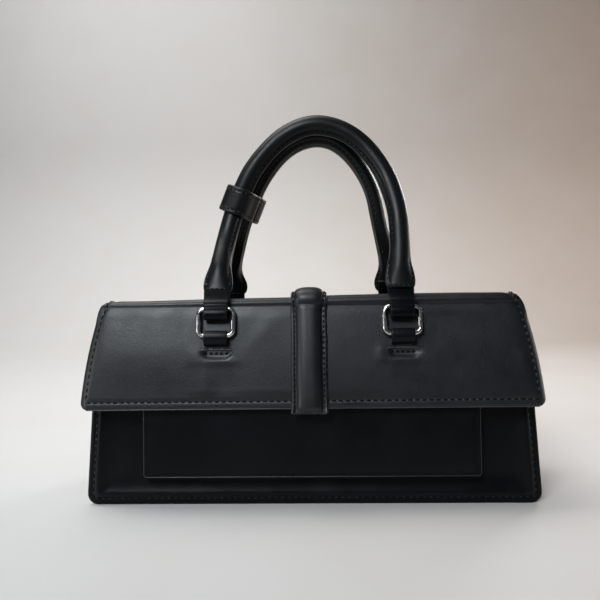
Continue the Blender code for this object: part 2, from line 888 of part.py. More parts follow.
def handle_pieces(name, bar, apex_depth, rise, shares):
    """A rolled handle: hollow leather cover, cord core and its two ring tabs."""
    knots = handle_knots(bar, apex_depth, rise, shares)
    curve = handle_curve(knots)
    points = spaced(curve, HANDLE_STATIONS)
    sleeve(name + "_handle", handle_sections(points, 0), handle_sections(points, HANDLE_WALL), LEATHER)
    trim = BELL_LENGTH
    fine = spaced(curve, HANDLE_STATIONS * BEND_STEPS)
    inner = [p for p in fine if min((p - fine[0]).length, (p - fine[-1]).length) > trim]
    core = spaced(inner, CORE_STATIONS)
    radius = (HANDLE_RADIUS - HANDLE_WALL - CORE_GAP) * math.cos(math.pi / TUBE_SIDES)
    sections = []
    for point, (_, outward, side) in zip(core, frames(core)):
        outline = circle(radius, CORE_SIDES)
        sections.append([point + outward * u + side * v for u, v in outline])
    loft(name + "_handle_core", sections, PADDING)
    for side_name, end, near in (("left", 0, 1), ("right", -1, -2)):
        along = knots[near] - knots[end]
        flat = Vector((along.y, along.z)).normalized()
        tab(name + "_tab_" + side_name, knots[end].x, bar, flat)
    return curve


def keeper_half(name, middle, toward, along, radius, reach, wall):
    """Half of the keeper: a strip bent round one handle, open towards the other."""
    across = along.cross(toward)
    path = [across * radius + toward * reach]
    steps = 2 * BEND_STEPS
    for k in range(steps + 1):
        angle = math.pi * k / steps
        path.append(across * (radius * math.cos(angle)) - toward * (radius * math.sin(angle)))
    path.append(toward * reach - across * radius)
    sections = []
    for i, spot in enumerate(path):
        if i == 0:
            away = across.copy()
        elif i == len(path) - 1:
            away = -across
        else:
            away = spot.normalized()
        inner = middle + spot
        outer = inner + away * wall
        half = along * (KEEPER_HEIGHT / 2)
        sections.append([inner - half, outer - half, outer + half, inner + half])
    return loft(name, sections, LEATHER)


def keeper(front_curve, rear_curve):
    """Both halves of the keeper, wrapped round the left legs of the two handles."""
    index = next(
        i for i, p in enumerate(front_curve)
        if p.z > front_bars()[1].y + FRONT_HANDLE_RISE * KEEPER_SHARE
    )
    front = front_curve[index]
    along = (front_curve[index + 1] - front_curve[index - 1]).normalized()
    near = min(
        range(1, len(rear_curve) // 2),
        key=lambda i: abs((rear_curve[i] - front).dot(along)),
    )
    rear = rear_curve[near]
    along += (rear_curve[near + 1] - rear_curve[near - 1]).normalized()
    along.normalize()
    toward = rear - front
    toward = toward - along * toward.dot(along)
    span = toward.length
    toward.normalize()
    radius = HANDLE_RADIUS + KEEPER_SLACK
    reach = span / 2 - SEAT_GAP / 2
    keeper_half("keeper_front", front, toward, along, radius, reach, KEEPER_FRONT_WALL)
    keeper_half("keeper_rear", front + toward * span, -toward, along, radius, reach, KEEPER_REAR_WALL)


def ring_sets():
    """Each ring with its chape, left and right, front and rear."""
    lean = panel_lean()
    rear_normal = Vector((math.cos(lean), math.sin(lean)))
    for row, bars, normal in (
        ("front", front_bars(), front_face_normal()),
        ("rear", rear_bars(), rear_normal),
    ):
        for side_name, side in (("left", -1), ("right", 1)):
            across = side * RING_SPREAD / 2
            wire_ring(f"{row}_ring_{side_name}", across, bars)
            chape(f"{row}_chape_{side_name}", across, bars[0], normal)


def main():
    clear_scene()
    panel("front_panel", -1)
    panel("back_panel", 1)
    gusset("left_gusset", -1)
    gusset("right_gusset", 1)
    base_pieces()
    lining()
    front_pocket()
    flap_pieces()
    rear_margin()
    centre_strap()
    magnetic_snap()
    ring_sets()
    front_curve = handle_pieces(
        "front", front_bars()[1], FRONT_APEX_DEPTH, FRONT_HANDLE_RISE, FRONT_ROUTE_SHARES
    )
    rear_curve = handle_pieces(
        "rear", rear_bars()[1], REAR_APEX_DEPTH, REAR_HANDLE_RISE, REAR_ROUTE_SHARES
    )
    keeper(front_curve, rear_curve)


main()
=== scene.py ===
"""The finished looks of a flap bag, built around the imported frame.

Metres, +Z up, +X to the viewer's right, -Y to the front.
Side views are (y, z) pairs, and a piece's lift is its height over the face that carries it.
"""
import json
import math

import bmesh
import bpy
import numpy as np
from mathutils import Matrix, Vector


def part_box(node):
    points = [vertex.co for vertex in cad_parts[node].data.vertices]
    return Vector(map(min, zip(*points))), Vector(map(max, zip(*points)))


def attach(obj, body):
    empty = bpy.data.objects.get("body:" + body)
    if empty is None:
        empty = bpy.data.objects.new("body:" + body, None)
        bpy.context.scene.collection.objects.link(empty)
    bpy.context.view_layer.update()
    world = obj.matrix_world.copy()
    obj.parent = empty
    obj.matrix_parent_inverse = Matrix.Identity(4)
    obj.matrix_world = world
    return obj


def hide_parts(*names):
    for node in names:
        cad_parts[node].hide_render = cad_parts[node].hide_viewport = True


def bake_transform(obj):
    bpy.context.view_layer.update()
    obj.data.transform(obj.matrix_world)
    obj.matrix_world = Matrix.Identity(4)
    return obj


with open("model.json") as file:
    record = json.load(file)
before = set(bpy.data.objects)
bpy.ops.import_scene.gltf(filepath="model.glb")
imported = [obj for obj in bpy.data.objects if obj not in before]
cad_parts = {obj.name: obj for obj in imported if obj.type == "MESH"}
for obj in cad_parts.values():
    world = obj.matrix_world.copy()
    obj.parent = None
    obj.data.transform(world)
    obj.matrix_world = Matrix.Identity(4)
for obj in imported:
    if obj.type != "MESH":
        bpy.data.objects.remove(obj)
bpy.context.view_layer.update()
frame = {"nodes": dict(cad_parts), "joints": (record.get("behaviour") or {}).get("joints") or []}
JOINTS = {joint["name"]: joint for joint in frame["joints"]}
MM = 0.001

# Camera, as fitted to the photograph's edges
CAMERA_PLACE = (0.0099, -0.4144, 0.1340)
CAMERA_YAW = math.radians(-2.262)
CAMERA_PITCH = math.radians(-1.883)
CAMERA_ROLL = math.radians(-1.010)
CAMERA_LENS = 38.4
CAMERA_SENSOR = 36.0

# Body
BODY_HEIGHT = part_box("front_panel")[1].z
BASE_HALF_WIDTH = 136.0 * MM
TOP_HALF_WIDTH = 129.2 * MM
BASE_HALF_DEPTH = 38.5 * MM
TOP_HALF_DEPTH = 31.0 * MM
PANEL_WALL = 2.4 * MM
PANEL_FOOT_RADIUS = 6.5 * MM
PANEL_TOP_RADIUS = 16.0 * MM
GUSSET_WALL = 1.8 * MM
GUSSET_INSET = 3.5 * MM
GUSSET_FOLD = 3.0 * MM
GUSSET_TOP = BODY_HEIGHT - 12.0 * MM
BASE_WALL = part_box("base_panel")[1].z
SEAT_GAP = 0.3 * MM

# Front pocket
POCKET_HALF_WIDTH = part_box("front_pocket")[1].x
POCKET_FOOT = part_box("front_pocket")[0].z
POCKET_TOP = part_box("front_pocket")[1].z
POCKET_PROUD = 8.0 * MM
POCKET_WALL = 1.8 * MM
POCKET_CORNER_RADIUS = 3.0 * MM

# Flap
HINGE = Vector(JOINTS["flap_hinge"]["pos_m"][1:])
FLAP_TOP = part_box("flap")[1].z
FLAP_FOOT = 59.6 * MM
FLAP_FOOT_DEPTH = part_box("flap")[0].y
FLAP_CREST_DEPTH = -34.8 * MM
FLAP_FOOT_HALF_WIDTH = 135.6 * MM
FLAP_SHOULDER_HALF_WIDTH = 126.5 * MM
FLAP_WALL = 2.0 * MM
FLAP_FOOT_RADIUS = 4.7 * MM
FLAP_SHOULDER_DROP = 6.2 * MM
FLAP_SHOULDER_INSET = 2.9 * MM
FLAP_CREST_RADIUS = 4.0 * MM
FLAP_REAR_RADIUS = 3.2 * MM
FLAP_LINING_WALL = 0.9 * MM
FLAP_LINING_MARGIN = 2.5 * MM
FLAP_LINING_HALF_WIDTH = 133.9 * MM - FLAP_LINING_MARGIN
FLAP_BELLY = 34.0 * MM
MARGIN_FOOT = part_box("flap_rear_margin")[0].z
MARGIN_TOP = BODY_HEIGHT - 2.2 * MM
HINGE_STRIP_REACH = 8.5 * MM
TOP_SAG = 2.6 * MM

# Meshes
ARC_STEPS = 6
WELD_DISTANCE = 0.01 * MM

# Seams
STITCH_INSET = 4.1 * MM
STITCH_PITCH = 4.0 * MM
THREAD_RADIUS = 0.42 * MM

# Rings, tabs and chapes
RING_HALF_SPREAD = 54.5 * MM
RING_WIRE_RADIUS = 1.6 * MM
RING_HALF_WIDTH = 10.25 * MM
RING_HEIGHT = 15.5 * MM
RING_CORNER_RADIUS = 3.4 * MM
CHAPE_BAR_LENGTH = 43.3 * MM
TACK_DROP = 11.1 * MM
CHAPE_TACK = CHAPE_BAR_LENGTH - TACK_DROP

# Handles
HANDLE_RADIUS = 6.2 * MM
HANDLE_SIDES = 44
APEX_DEPTH = {"front": -5.8 * MM, "rear": 6.3 * MM}
HANDLE_RISE = {"front": 114.6 * MM, "rear": 110.0 * MM}
BELL_START = {"front": 11.5 * MM, "rear": 8.6 * MM}
BELL_STRAIGHT = 25.0 * MM
BELL_LENGTH = 24.0 * MM
BELL_SEAM = 17.0 * MM
PINCH_PLACE, PINCH_REACH, PINCH_SHIFT = 0.715, 0.15, 4.3 * MM
# Each place is a share of the half spread, of the way from apex depth to bar depth, and of the rise
ROUTE_SHARES = {
    "front": (
        (-0.990, 0.53, 0.240), (-0.954, 0.22, 0.352), (-0.888, 0.04, 0.490), (-0.761, 0.01, 0.649),
        (-0.630, 0.00, 0.766), (-0.452, 0.00, 0.868), (-0.260, 0.00, 0.943), (-0.040, 0.00, 0.993),
        (0.130, 0.00, 1.000), (0.385, 0.00, 0.972), (0.570, 0.02, 0.914), (0.740, 0.07, 0.828),
        (0.890, 0.15, 0.710), (0.974, 0.27, 0.590), (1.015, 0.41, 0.467), (1.018, 0.56, 0.337),
        (1.000, 0.71, 0.230),
    ),
    "rear": (
        (-0.990, 0.59, 0.240), (-0.902, 0.24, 0.350), (-0.803, 0.05, 0.506), (-0.665, 0.01, 0.666),
        (-0.526, 0.00, 0.789), (-0.352, 0.00, 0.893), (-0.149, 0.00, 0.968), (0.090, 0.00, 1.000),
        (0.345, 0.02, 0.974), (0.529, 0.07, 0.903), (0.700, 0.15, 0.797), (0.815, 0.25, 0.684),
        (0.880, 0.39, 0.542), (0.925, 0.54, 0.405), (0.990, 0.73, 0.250),
    ),
}
KEEPER_SHARE = 0.573
KEEPER_HEIGHT = 16.8 * MM
KEEPER_WALL = 1.7 * MM
KEEPER_RADIUS = HANDLE_RADIUS + 1.5 * MM


# Materials

def feed(tree, socket, value):
    """Links an output to an input, or sets the input's own value."""
    if isinstance(value, bpy.types.NodeSocket):
        tree.links.new(value, socket)
    else:
        socket.default_value = value


def fill(tree, node, **values):
    """Feeds a node's inputs by name, with underscores for spaces."""
    for key, value in values.items():
        feed(tree, node.inputs[key.replace("_", " ")], value)
    return node


def add_node(tree, kind, **values):
    return fill(tree, tree.nodes.new(kind), **values)


def new_material(name):
    material = bpy.data.materials.new(name)
    material.use_nodes = True
    return material, material.node_tree


def shaded(material, **values):
    """Feeds a material's shader and returns the material."""
    tree = material.node_tree
    fill(tree, tree.nodes["Principled BSDF"], **values)
    return material


def object_place(tree):
    return tree.nodes.new("ShaderNodeTexCoord").outputs["Object"]


def object_noise(tree, scale, detail=2.0, roughness=0.5):
    """Noise on the object's own coordinates; every scale is in repeats per metre."""
    values = {"Scale": scale, "Detail": detail, "Roughness": roughness}
    return add_node(tree, "ShaderNodeTexNoise", Vector=object_place(tree), **values).outputs["Fac"]


def mapped(tree, value, low, high, start=0.3, stop=0.7):
    values = {"From Min": start, "From Max": stop, "To Min": low, "To Max": high}
    return add_node(tree, "ShaderNodeMapRange", Value=value, **values).outputs["Result"]


def combined(tree, operation, a, b):
    node = tree.nodes.new("ShaderNodeMath")
    node.operation = operation
    feed(tree, node.inputs[0], a)
    feed(tree, node.inputs[1], b)
    return node.outputs[0]


def mixed_colour(tree, factor, dark, light):
    """A mix of two colours, each given as three shares or as an output."""
    node = tree.nodes.new("ShaderNodeMix")
    node.data_type = "RGBA"
    for index, value in ((6, dark), (7, light), (0, factor)):
        feed(tree, node.inputs[index], (*value, 1) if isinstance(value, tuple) else value)
    return node.outputs[2]


def bumped(tree, height, strength, distance, below=None):
    node = add_node(tree, "ShaderNodeBump", Strength=strength, Distance=distance, Height=height)
    if below is not None:
        fill(tree, node, Normal=below)
    return node.outputs["Normal"]


def leather(name, dark, light, rough, gloss_level, grain=0.5, edge_wear_and_highlight=(0.022, 0.023, 0.026)):
    """Smooth finished leather: fine pebble grain, uneven gloss, and convex edges painted paler, partly as
    rubbed wear and partly as a painted highlight along rims.
    """
    material, tree = new_material(name)
    pebble = add_node(tree, "ShaderNodeTexVoronoi", Vector=object_place(tree), Scale=1500.0)
    normal = bumped(tree, object_noise(tree, 260.0, 4.0, 0.65), 0.22, 0.25 * MM)
    normal = bumped(tree, pebble.outputs["Distance"], grain, 0.06 * MM, normal)
    normal = bumped(tree, object_noise(tree, 4200.0), 0.20, 0.03 * MM, normal)
    patches = mapped(tree, object_noise(tree, 34.0, 3.0), 0.0, 1.0)
    bend = tree.nodes.new("ShaderNodeNewGeometry")
    # Convex edges are painted paler: partly rubbed wear, partly a painted highlight where rims catch the
    # light.
    rubbed_and_lit_edges = mapped(tree, bend.outputs["Pointiness"], 0.0, 1.0, 0.53, 0.60)
    scuffs = mapped(tree, object_noise(tree, 420.0, 3.0), 0.25, 1.0)
    wear_and_highlight_mask = combined(tree, "MULTIPLY", rubbed_and_lit_edges, scuffs)
    return shaded(
        material, Normal=normal, Specular_IOR_Level=gloss_level,
        Base_Color=mixed_colour(tree, wear_and_highlight_mask, mixed_colour(tree, patches, dark, light), edge_wear_and_highlight),
        Roughness=mapped(tree, object_noise(tree, 75.0, 4.0, 0.6), rough - 0.05, rough + 0.07),
    )


def thread(name, colour):
    """Twisted waxed thread."""
    material, tree = new_material(name)
    twist = add_node(tree, "ShaderNodeTexWave", Vector=object_place(tree), Scale=1300.0, Distortion=1.5)
    twist.bands_direction = "DIAGONAL"
    height = twist.outputs["Fac"]
    return shaded(
        material, Normal=bumped(tree, height, 0.5, 0.08 * MM), Roughness=0.55, Specular_IOR_Level=0.12,
        Base_Color=mixed_colour(tree, height, colour, tuple(2.2 * c for c in colour)),
    )


def nickel(name):
    """Polished plate with faint hairlines and slightly uneven gloss."""
    material, tree = new_material(name)
    stretch = add_node(tree, "ShaderNodeMapping", Vector=object_place(tree), Scale=(1.0, 1.0, 0.12))
    lines = add_node(tree, "ShaderNodeTexNoise", Vector=stretch.outputs["Vector"], Scale=2600.0, Detail=3.0)
    height = lines.outputs["Fac"]
    cloud = mapped(tree, object_noise(tree, 180.0, 3.0), 0.0, 1.0)
    return shaded(
        material, Normal=bumped(tree, height, 0.06, 0.02 * MM), Roughness=mapped(tree, height, 0.10, 0.20),
        Base_Color=mixed_colour(tree, cloud, (0.42, 0.41, 0.39), (0.58, 0.57, 0.55)), Metallic=1.0,
    )


def woven(name, dark, light, threads, rough=0.85):
    """Plain woven cloth: two crossed waves of thread."""
    material, tree = new_material(name)
    place = object_place(tree)
    heights = []
    for direction in ("X", "Z"):
        wave = add_node(tree, "ShaderNodeTexWave", Vector=place, Scale=threads, Distortion=0.6)
        wave.bands_direction = direction
        heights.append(wave.outputs["Fac"])
    height = combined(tree, "MULTIPLY", *heights)
    return shaded(
        material, Normal=bumped(tree, height, 0.6, 0.12 * MM), Roughness=rough, Sheen_Weight=0.25,
        Base_Color=mixed_colour(tree, height, dark, light),
    )


def board(name):
    """Pressed fibre: pale and dark flecks."""
    material, tree = new_material(name)
    flecks = object_noise(tree, 700.0, 5.0, 0.7)
    shade = mixed_colour(tree, mapped(tree, flecks, 0.0, 1.0), (0.15, 0.12, 0.09), (0.30, 0.26, 0.20))
    return shaded(material, Base_Color=shade, Normal=bumped(tree, flecks, 0.5, 0.2 * MM), Roughness=0.85)


def stage_with_painted_shade(name, left, right, rough):
    """Matt paint that turns darker and warmer across the stage towards the right, as painted shade, with a
    faint random mottle.
    """
    material, tree = new_material(name)
    split = add_node(tree, "ShaderNodeSeparateXYZ", Vector=object_place(tree))
    mottle = mapped(tree, object_noise(tree, 9.0, 3.0), -0.06, 0.06)
    # Darker towards +X: painted shade on the wall and floor.
    share = combined(tree, "ADD", mapped(tree, split.outputs["X"], 0.0, 1.0, -0.20, 0.80), mottle)
    return shaded(material, Base_Color=mixed_colour(tree, share, left, right), Roughness=rough)


# The body's leather is the flap's leather made darker and less glossy; the darker colour is painted shade,
# and its stronger pale edge colour is partly wear and partly a painted highlight on rims.
SHADED_BODY_LEATHER = leather(
    "body_leather_finish", (0.0012, 0.0014, 0.0019), (0.0026, 0.0030, 0.0040), 0.34, 0.12,
    edge_wear_and_highlight=(0.040, 0.043, 0.050),
)
FLAP_LEATHER = leather(
    "flap_leather_finish", (0.0030, 0.0035, 0.0046), (0.0058, 0.0065, 0.0080), 0.40, 0.40, grain=0.9,
)
HANDLE_LEATHER = leather(
    "handle_leather_finish", (0.0020, 0.0023, 0.0026), (0.0040, 0.0046, 0.0048), 0.36, 0.22,
)
# A darker, less glossy copy of the strap leather for the tabs; the darker colour is painted shade where the
# key light's sheen would fall.
SHADED_TAB_LEATHER = leather("tab_leather_finish", (0.0012, 0.0014, 0.0020), (0.0022, 0.0026, 0.0036), 0.28, 0.09)
STRAP_LEATHER = leather(
    "strap_leather_finish", (0.0024, 0.0028, 0.0036), (0.0036, 0.0041, 0.0052), 0.30, 0.12,
)
# Pale paint for the painted edges; the same paint also draws painted highlights on the leather between
# stitches and along the pocket's edge.
EDGE_PAINT_AND_HIGHLIGHT = leather(
    "edge_paint_and_highlight_finish", (0.030, 0.032, 0.036), (0.048, 0.051, 0.056), 0.30, 0.5, grain=0.10,
)
THREAD = thread("thread_finish", (0.0012, 0.0012, 0.0014))
NICKEL = nickel("nickel_finish")
LINING_CLOTH = woven("lining_cloth_finish", (0.018, 0.016, 0.016), (0.045, 0.041, 0.040), 900.0)
FELT = woven("padding_finish", (0.22, 0.22, 0.23), (0.36, 0.36, 0.37), 500.0, 0.95)
BOARD = board("board_finish")


# Meshes

def new_object(name, data):
    obj = bpy.data.objects.new(name, data)
    bpy.context.scene.collection.objects.link(obj)
    return obj


def add_piece(name, points, faces, material, body, replaced=()):
    """A smooth mesh piece that rides on a body and stands for the nodes it replaces."""
    mesh = bpy.data.meshes.new(name)
    mesh.from_pydata([tuple(p) for p in points], [], faces)
    mesh.validate()
    mesh.shade_smooth()
    mesh.materials.append(material)
    obj = new_object(name, mesh)
    face_out(mesh)
    if body:
        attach(obj, body)
    if replaced:
        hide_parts(*replaced)
    return obj


def face_out(mesh, weld=False):
    """Turn every face of a closed mesh outwards, and with weld first merge the points at sharp corners."""
    work = bmesh.new()
    work.from_mesh(mesh)
    if weld:
        bmesh.ops.remove_doubles(work, verts=work.verts, dist=WELD_DISTANCE)
    bmesh.ops.recalc_face_normals(work, faces=work.faces)
    work.to_mesh(mesh)
    work.free()


def inset_corner(corners, i, inset):
    """A corner of a convex outline, drawn in by the same inset from both of its sides."""
    here = Vector(corners[i])
    into = (here - Vector(corners[i - 1])).normalized()
    out = (Vector(corners[(i + 1) % 4]) - here).normalized()
    normal_in = Vector((-into.y, into.x))
    normal_out = Vector((-out.y, out.x))
    return here + (normal_in + normal_out) * (inset / (1 + normal_in.dot(normal_out))), into, out


def outline_ring(corners, radii, inset, shares, arc_steps):
    """One ring of a rounded outline: an arc at each corner, then the points of the side after it."""
    arcs = []
    for i in range(4):
        corner, into, out = inset_corner(corners, i, inset)
        radius = max(0.0, radii[i] - inset)
        half = (math.pi - into.angle(out)) / 2
        reach = radius / math.tan(half)
        start, stop = corner - into * reach, corner + out * reach
        centre = corner + (out - into).normalized() * (radius / math.sin(half))
        turn = math.pi - 2 * half
        points = []
        for k in range(arc_steps + 1):
            spoke = Matrix.Rotation(turn * k / arc_steps, 2) @ (start - centre)
            points.append(centre + spoke if radius else corner)
        points[0], points[-1] = start, stop
        arcs.append(points)
    ring = []
    for i in range(4):
        ring += arcs[i]
        a, b = arcs[i][-1], arcs[(i + 1) % 4][0]
        ring += [a.lerp(b, share) for share in shares[i]]
    return ring


def ring_grid(corners, radii, insets, rows, columns):
    """Rings along a four-cornered outline with a grid inside, as points, edge distances and faces.

    The corners go round from the lower left, and the last inset is larger than every radius.
    """
    sides = (columns, rows, reversed_shares(columns), reversed_shares(rows))
    points, distances, faces = [], [], []
    for k, inset in enumerate(insets):
        ring = outline_ring(corners, radii, inset, sides, ARC_STEPS)
        count = len(ring)
        points += [tuple(p) for p in ring]
        distances += [inset] * count
        if k:
            a, b = (k - 1) * count, k * count
            faces += [(a + i, a + (i + 1) % count, b + (i + 1) % count, b + i) for i in range(count)]
    inner = [inset_corner(corners, i, insets[-1])[0] for i in range(4)]
    across = [0, *columns, 1]
    up = [0, *rows, 1]
    base = len(points)
    for v in up:
        left, right = inner[0].lerp(inner[3], v), inner[1].lerp(inner[2], v)
        points += [tuple(left.lerp(right, u)) for u in across]
    wide = len(across)
    for r in range(len(up) - 1):
        for c in range(wide - 1):
            a = base + r * wide + c
            faces.append((a, a + 1, a + wide + 1, a + wide))
    flat = np.array(points)
    lines = []
    for i in range(4):
        a, b = np.array(corners[i]), np.array(corners[(i + 1) % 4])
        way = unit(b - a)
        lines.append((flat[:, 1] - a[1]) * way[0] - (flat[:, 0] - a[0]) * way[1])
    distance = np.min(lines, axis=0)
    distance[:base] = distances
    _, first, welded = np.unique(np.round(flat, 7), axis=0, return_index=True, return_inverse=True)
    welded = welded.ravel()
    kept = []
    for face in faces:
        loop = [int(welded[i]) for i in face]
        loop = [v for i, v in enumerate(loop) if v != loop[i - 1]]
        if len(loop) > 2:
            kept.append(tuple(loop))
    border = [int(i) for i in welded[:count]]
    return flat[first], distance[first], kept, border


def even(count):
    """Inner shares of a side cut into equal parts."""
    return [k / count for k in range(1, count)]


def reversed_shares(shares):
    """The same shares, taken from the side's other end."""
    return [1 - share for share in reversed(shares)]


def circle(count):
    """(cosine, sine) pairs round a circle."""
    turns = [2 * math.pi * k / count for k in range(count)]
    return [(math.cos(turn), math.sin(turn)) for turn in turns]


def ramp(value, start, length):
    """Rises from 0 at a start to 1 after a length, both in mm."""
    return np.clip((value / MM - start) / length, 0, 1)


def bump(value, middle, reach):
    """A soft bump of height one about a middle, with its reach, both in mm."""
    return np.exp(-((value / MM - middle) / reach) ** 2)


def trapezoid(low_half, low, high_half, high):
    """The corners of a level-edged outline from its half widths and heights, from the lower left."""
    return (-low_half, low), (low_half, low), (high_half, high), (-high_half, high)


def eased(share):
    """A share that starts and stops softly."""
    return share * share * (3 - 2 * share)


def line_on(place, a, b, lift):
    """A line at a lift over a surface, and the surface's normals along it."""
    line = place(a, b, lift)
    return line, (place(a, b, lift + MM) - line) / MM


def sheet(name, grid, place, wall, relief, drop, material, body, replaced=()):
    """A closed sheet of leather or cloth with rounded edges.

    place(a, b, lift) gives points in space; relief lifts the outer face alone, drop moves both faces.
    """
    flat, distance, faces, border = grid
    a, b = flat[:, 0], flat[:, 1]
    rounding = wall / 2
    lip = np.clip(rounding - distance, 0, rounding)
    edge = rounding - np.sqrt(np.maximum(0, rounding ** 2 - lip ** 2))
    shift = drop(a, b, distance) if drop else np.zeros(len(a))
    outer = place(a, b, shift + relief(a, b, distance) * np.clip(distance / rounding, 0, 1) - edge)
    inner = place(a, b, shift + edge - wall)
    on_border = np.zeros(len(a), bool)
    on_border[border] = True
    index = np.arange(len(a))
    index[~on_border] = len(a) + np.arange(np.sum(~on_border))
    points = np.vstack([outer, inner[~on_border]])
    under = [tuple(int(index[i]) for i in reversed(face)) for face in faces]
    return add_piece(name, points, faces + under, material, body, replaced)


def loft_faces(rings, sides, closed_path=False):
    """Quads between rings of points that follow each other in one list."""
    faces = []
    for k in range(rings if closed_path else rings - 1):
        a, b = k * sides, ((k + 1) % rings) * sides
        faces += [(a + i, a + (i + 1) % sides, b + (i + 1) % sides, b + i) for i in range(sides)]
    if not closed_path:
        faces.append(tuple(range(sides))[::-1])
        faces.append(tuple((rings - 1) * sides + i for i in range(sides)))
    return faces


def loft(name, sections, material, body, replaced=(), closed_path=False):
    points = [p for section in sections for p in section]
    faces = loft_faces(len(sections), len(sections[0]), closed_path)
    return add_piece(name, points, faces, material, body, replaced)


def unit(vectors):
    """The same directions with length one."""
    return vectors / np.linalg.norm(vectors, axis=-1, keepdims=True)


def travelled(points):
    """Length along a line up to each of its points."""
    steps = np.linalg.norm(np.diff(points, axis=0), axis=1)
    return np.concatenate([[0.0], np.cumsum(steps)])


def along(points, lengths, at):
    """Points of a line at given lengths along it."""
    return np.stack([np.interp(at, lengths, points[:, k]) for k in range(3)], axis=1)


def beads(name, runs, material, body, pitch, radius, shift, share, sink):
    """Short rounded rods along runs of (points, normals), whose ends dip into what they lie on.

    shift is the place of the first in pitches, and share the part of a pitch that each fills.
    """
    sides, bends = 6, (-1.0, -0.8, -0.4, 0.4, 0.8, 1.0)
    swell = (0.5, 0.9, 1.0, 1.0, 0.9, 0.5)
    depths = (-1.3, -0.3, 0.0, 0.0, -0.3, -1.3)
    spokes = circle(sides)
    points, faces = [], []
    for line, normals in runs:
        line, normals = np.array(line, float), np.array(normals, float)
        lengths = travelled(line)
        count = max(1, round(lengths[-1] / pitch))
        reach = lengths[-1] / count
        for k in range(count if shift else count - 1):
            middle = (k + 1 - shift) * reach
            spine = along(line, lengths, [middle + bend * share / 2 * reach for bend in bends])
            up = unit(along(normals, lengths, [middle])[0])
            side = np.cross(unit(spine[-1] - spine[0]), up)
            base = len(points)
            for spot, size, depth in zip(spine, swell, depths):
                centre = spot + up * ((depth - sink) * radius)
                points += [centre + (side * c + up * s) * (radius * size) for c, s in spokes]
            faces += [tuple(base + i for i in face) for face in loft_faces(len(bends), sides)]
    add_piece(name, points, faces, material, body)


def stitches(name, runs, body, pitch=STITCH_PITCH, radius=THREAD_RADIUS, pucker_highlights=True):
    """Rows of dark stitches, with the leather that swells up between them drawn as pale beads: a painted
    highlight.
    """
    beads(name, runs, THREAD, body, pitch, radius, 0.5, 0.62, -0.15)
    # The pale beads between the stitches are a painted highlight on the swollen leather.
    if pucker_highlights:
        beads(name + "_puckers", runs, EDGE_PAINT_AND_HIGHLIGHT, body, pitch, radius * 1.05, 0.0, 0.34, 0.55)


def waves(a, b, size, seed):
    """Slow hills and hollows of hand-made leather, about one either way."""
    total = np.zeros(np.broadcast(a, b).shape)
    for k in range(1, 6):
        angle = seed + 2.4 * k
        reach = size / (0.6 + 0.35 * k)
        way = (a * math.cos(angle) + b * math.sin(angle)) / reach
        total = total + np.sin(way * 2 * math.pi + seed * k) / k
    return total / 2


def hill(a, b, centre, half_a, half_b, turn=0.0):
    """A smooth bump of height one, stretched and turned about its centre."""
    da, db = a - centre[0], b - centre[1]
    c, s = math.cos(turn), math.sin(turn)
    return np.exp(-((da * c + db * s) / half_a) ** 2 - ((db * c - da * s) / half_b) ** 2)


# The body's own surfaces

def half_width(z):
    return BASE_HALF_WIDTH - (BASE_HALF_WIDTH - TOP_HALF_WIDTH) * z / BODY_HEIGHT


def half_depth(z):
    return BASE_HALF_DEPTH - (BASE_HALF_DEPTH - TOP_HALF_DEPTH) * z / BODY_HEIGHT


PANEL_LEAN = math.atan2(BASE_HALF_DEPTH - TOP_HALF_DEPTH, BODY_HEIGHT)


def on_panel(side):
    """Places (x, z, lift) on the front (side -1) or back (side 1) panel's outer face."""
    def place(x, z, lift):
        y = half_depth(z) + lift * math.cos(PANEL_LEAN)
        return np.stack([x, side * y, z + lift * math.sin(PANEL_LEAN)], axis=-1)
    return place


BODY_CORNERS = trapezoid(half_width(0), 0, half_width(BODY_HEIGHT), BODY_HEIGHT)
BODY_RADII = (PANEL_FOOT_RADIUS, PANEL_FOOT_RADIUS, PANEL_TOP_RADIUS, PANEL_TOP_RADIUS)
RIM_INSETS = [
    MM * d for d in (0, 0.12, 0.35, 0.7, 1.2, 1.9, 2.7, 3.3, 3.7, 4.0, 4.3, 4.7, 5.3, 6.2, 7.4, 9.0)
]


def seam_groove(distance, depth, ridge):
    """Lift near a stitched edge: a soft rim, the pulled-in seam and the swelling inside it."""
    d = distance / MM
    return MM * np.interp(
        d,
        (0.0, 0.4, 1.2, 2.4, 3.3, 4.1, 4.9, 6.0, 8.0, 12.0),
        (-0.10, 0.0, 0.06, 0.0, -0.45 * depth, -depth, -0.45 * depth, ridge, 0.7 * ridge, 0.0),
    )


def rim_setback(distance, setback):
    """How far a stitched rim turns back towards its edge."""
    share = np.clip(1 - distance / STITCH_INSET, 0, 1)
    return -setback * share ** 1.5


def panel_relief(x, z, d):
    """A swelling all round inside the seam, largest at the foot, and slow hills between."""
    roll = 1.9 * MM * bump(d, 6.5, 4.2)
    roll = roll * ramp(d, 3.6, 2.4)
    slow = 0.30 * MM * waves(x, z, 0.12, 1.7) * ramp(d, 7, 12)
    return seam_groove(d, 0.40, 0.10) + roll * np.clip((0.075 - z) / 0.03, 0.25, 1) + slow


def body_panel(name, side, node, top):
    insets = RIM_INSETS + [12.0 * MM, 17.0 * MM]
    corners = trapezoid(half_width(0), 0, half_width(top), top)
    grid = ring_grid(corners, BODY_RADII, insets, even(26), even(64))

    def drop(x, z, d):
        return rim_setback(d, 0.9 * MM)

    sheet(
        name, grid, on_panel(side), PANEL_WALL, panel_relief, drop,
        SHADED_BODY_LEATHER, "root", (node,),
    )


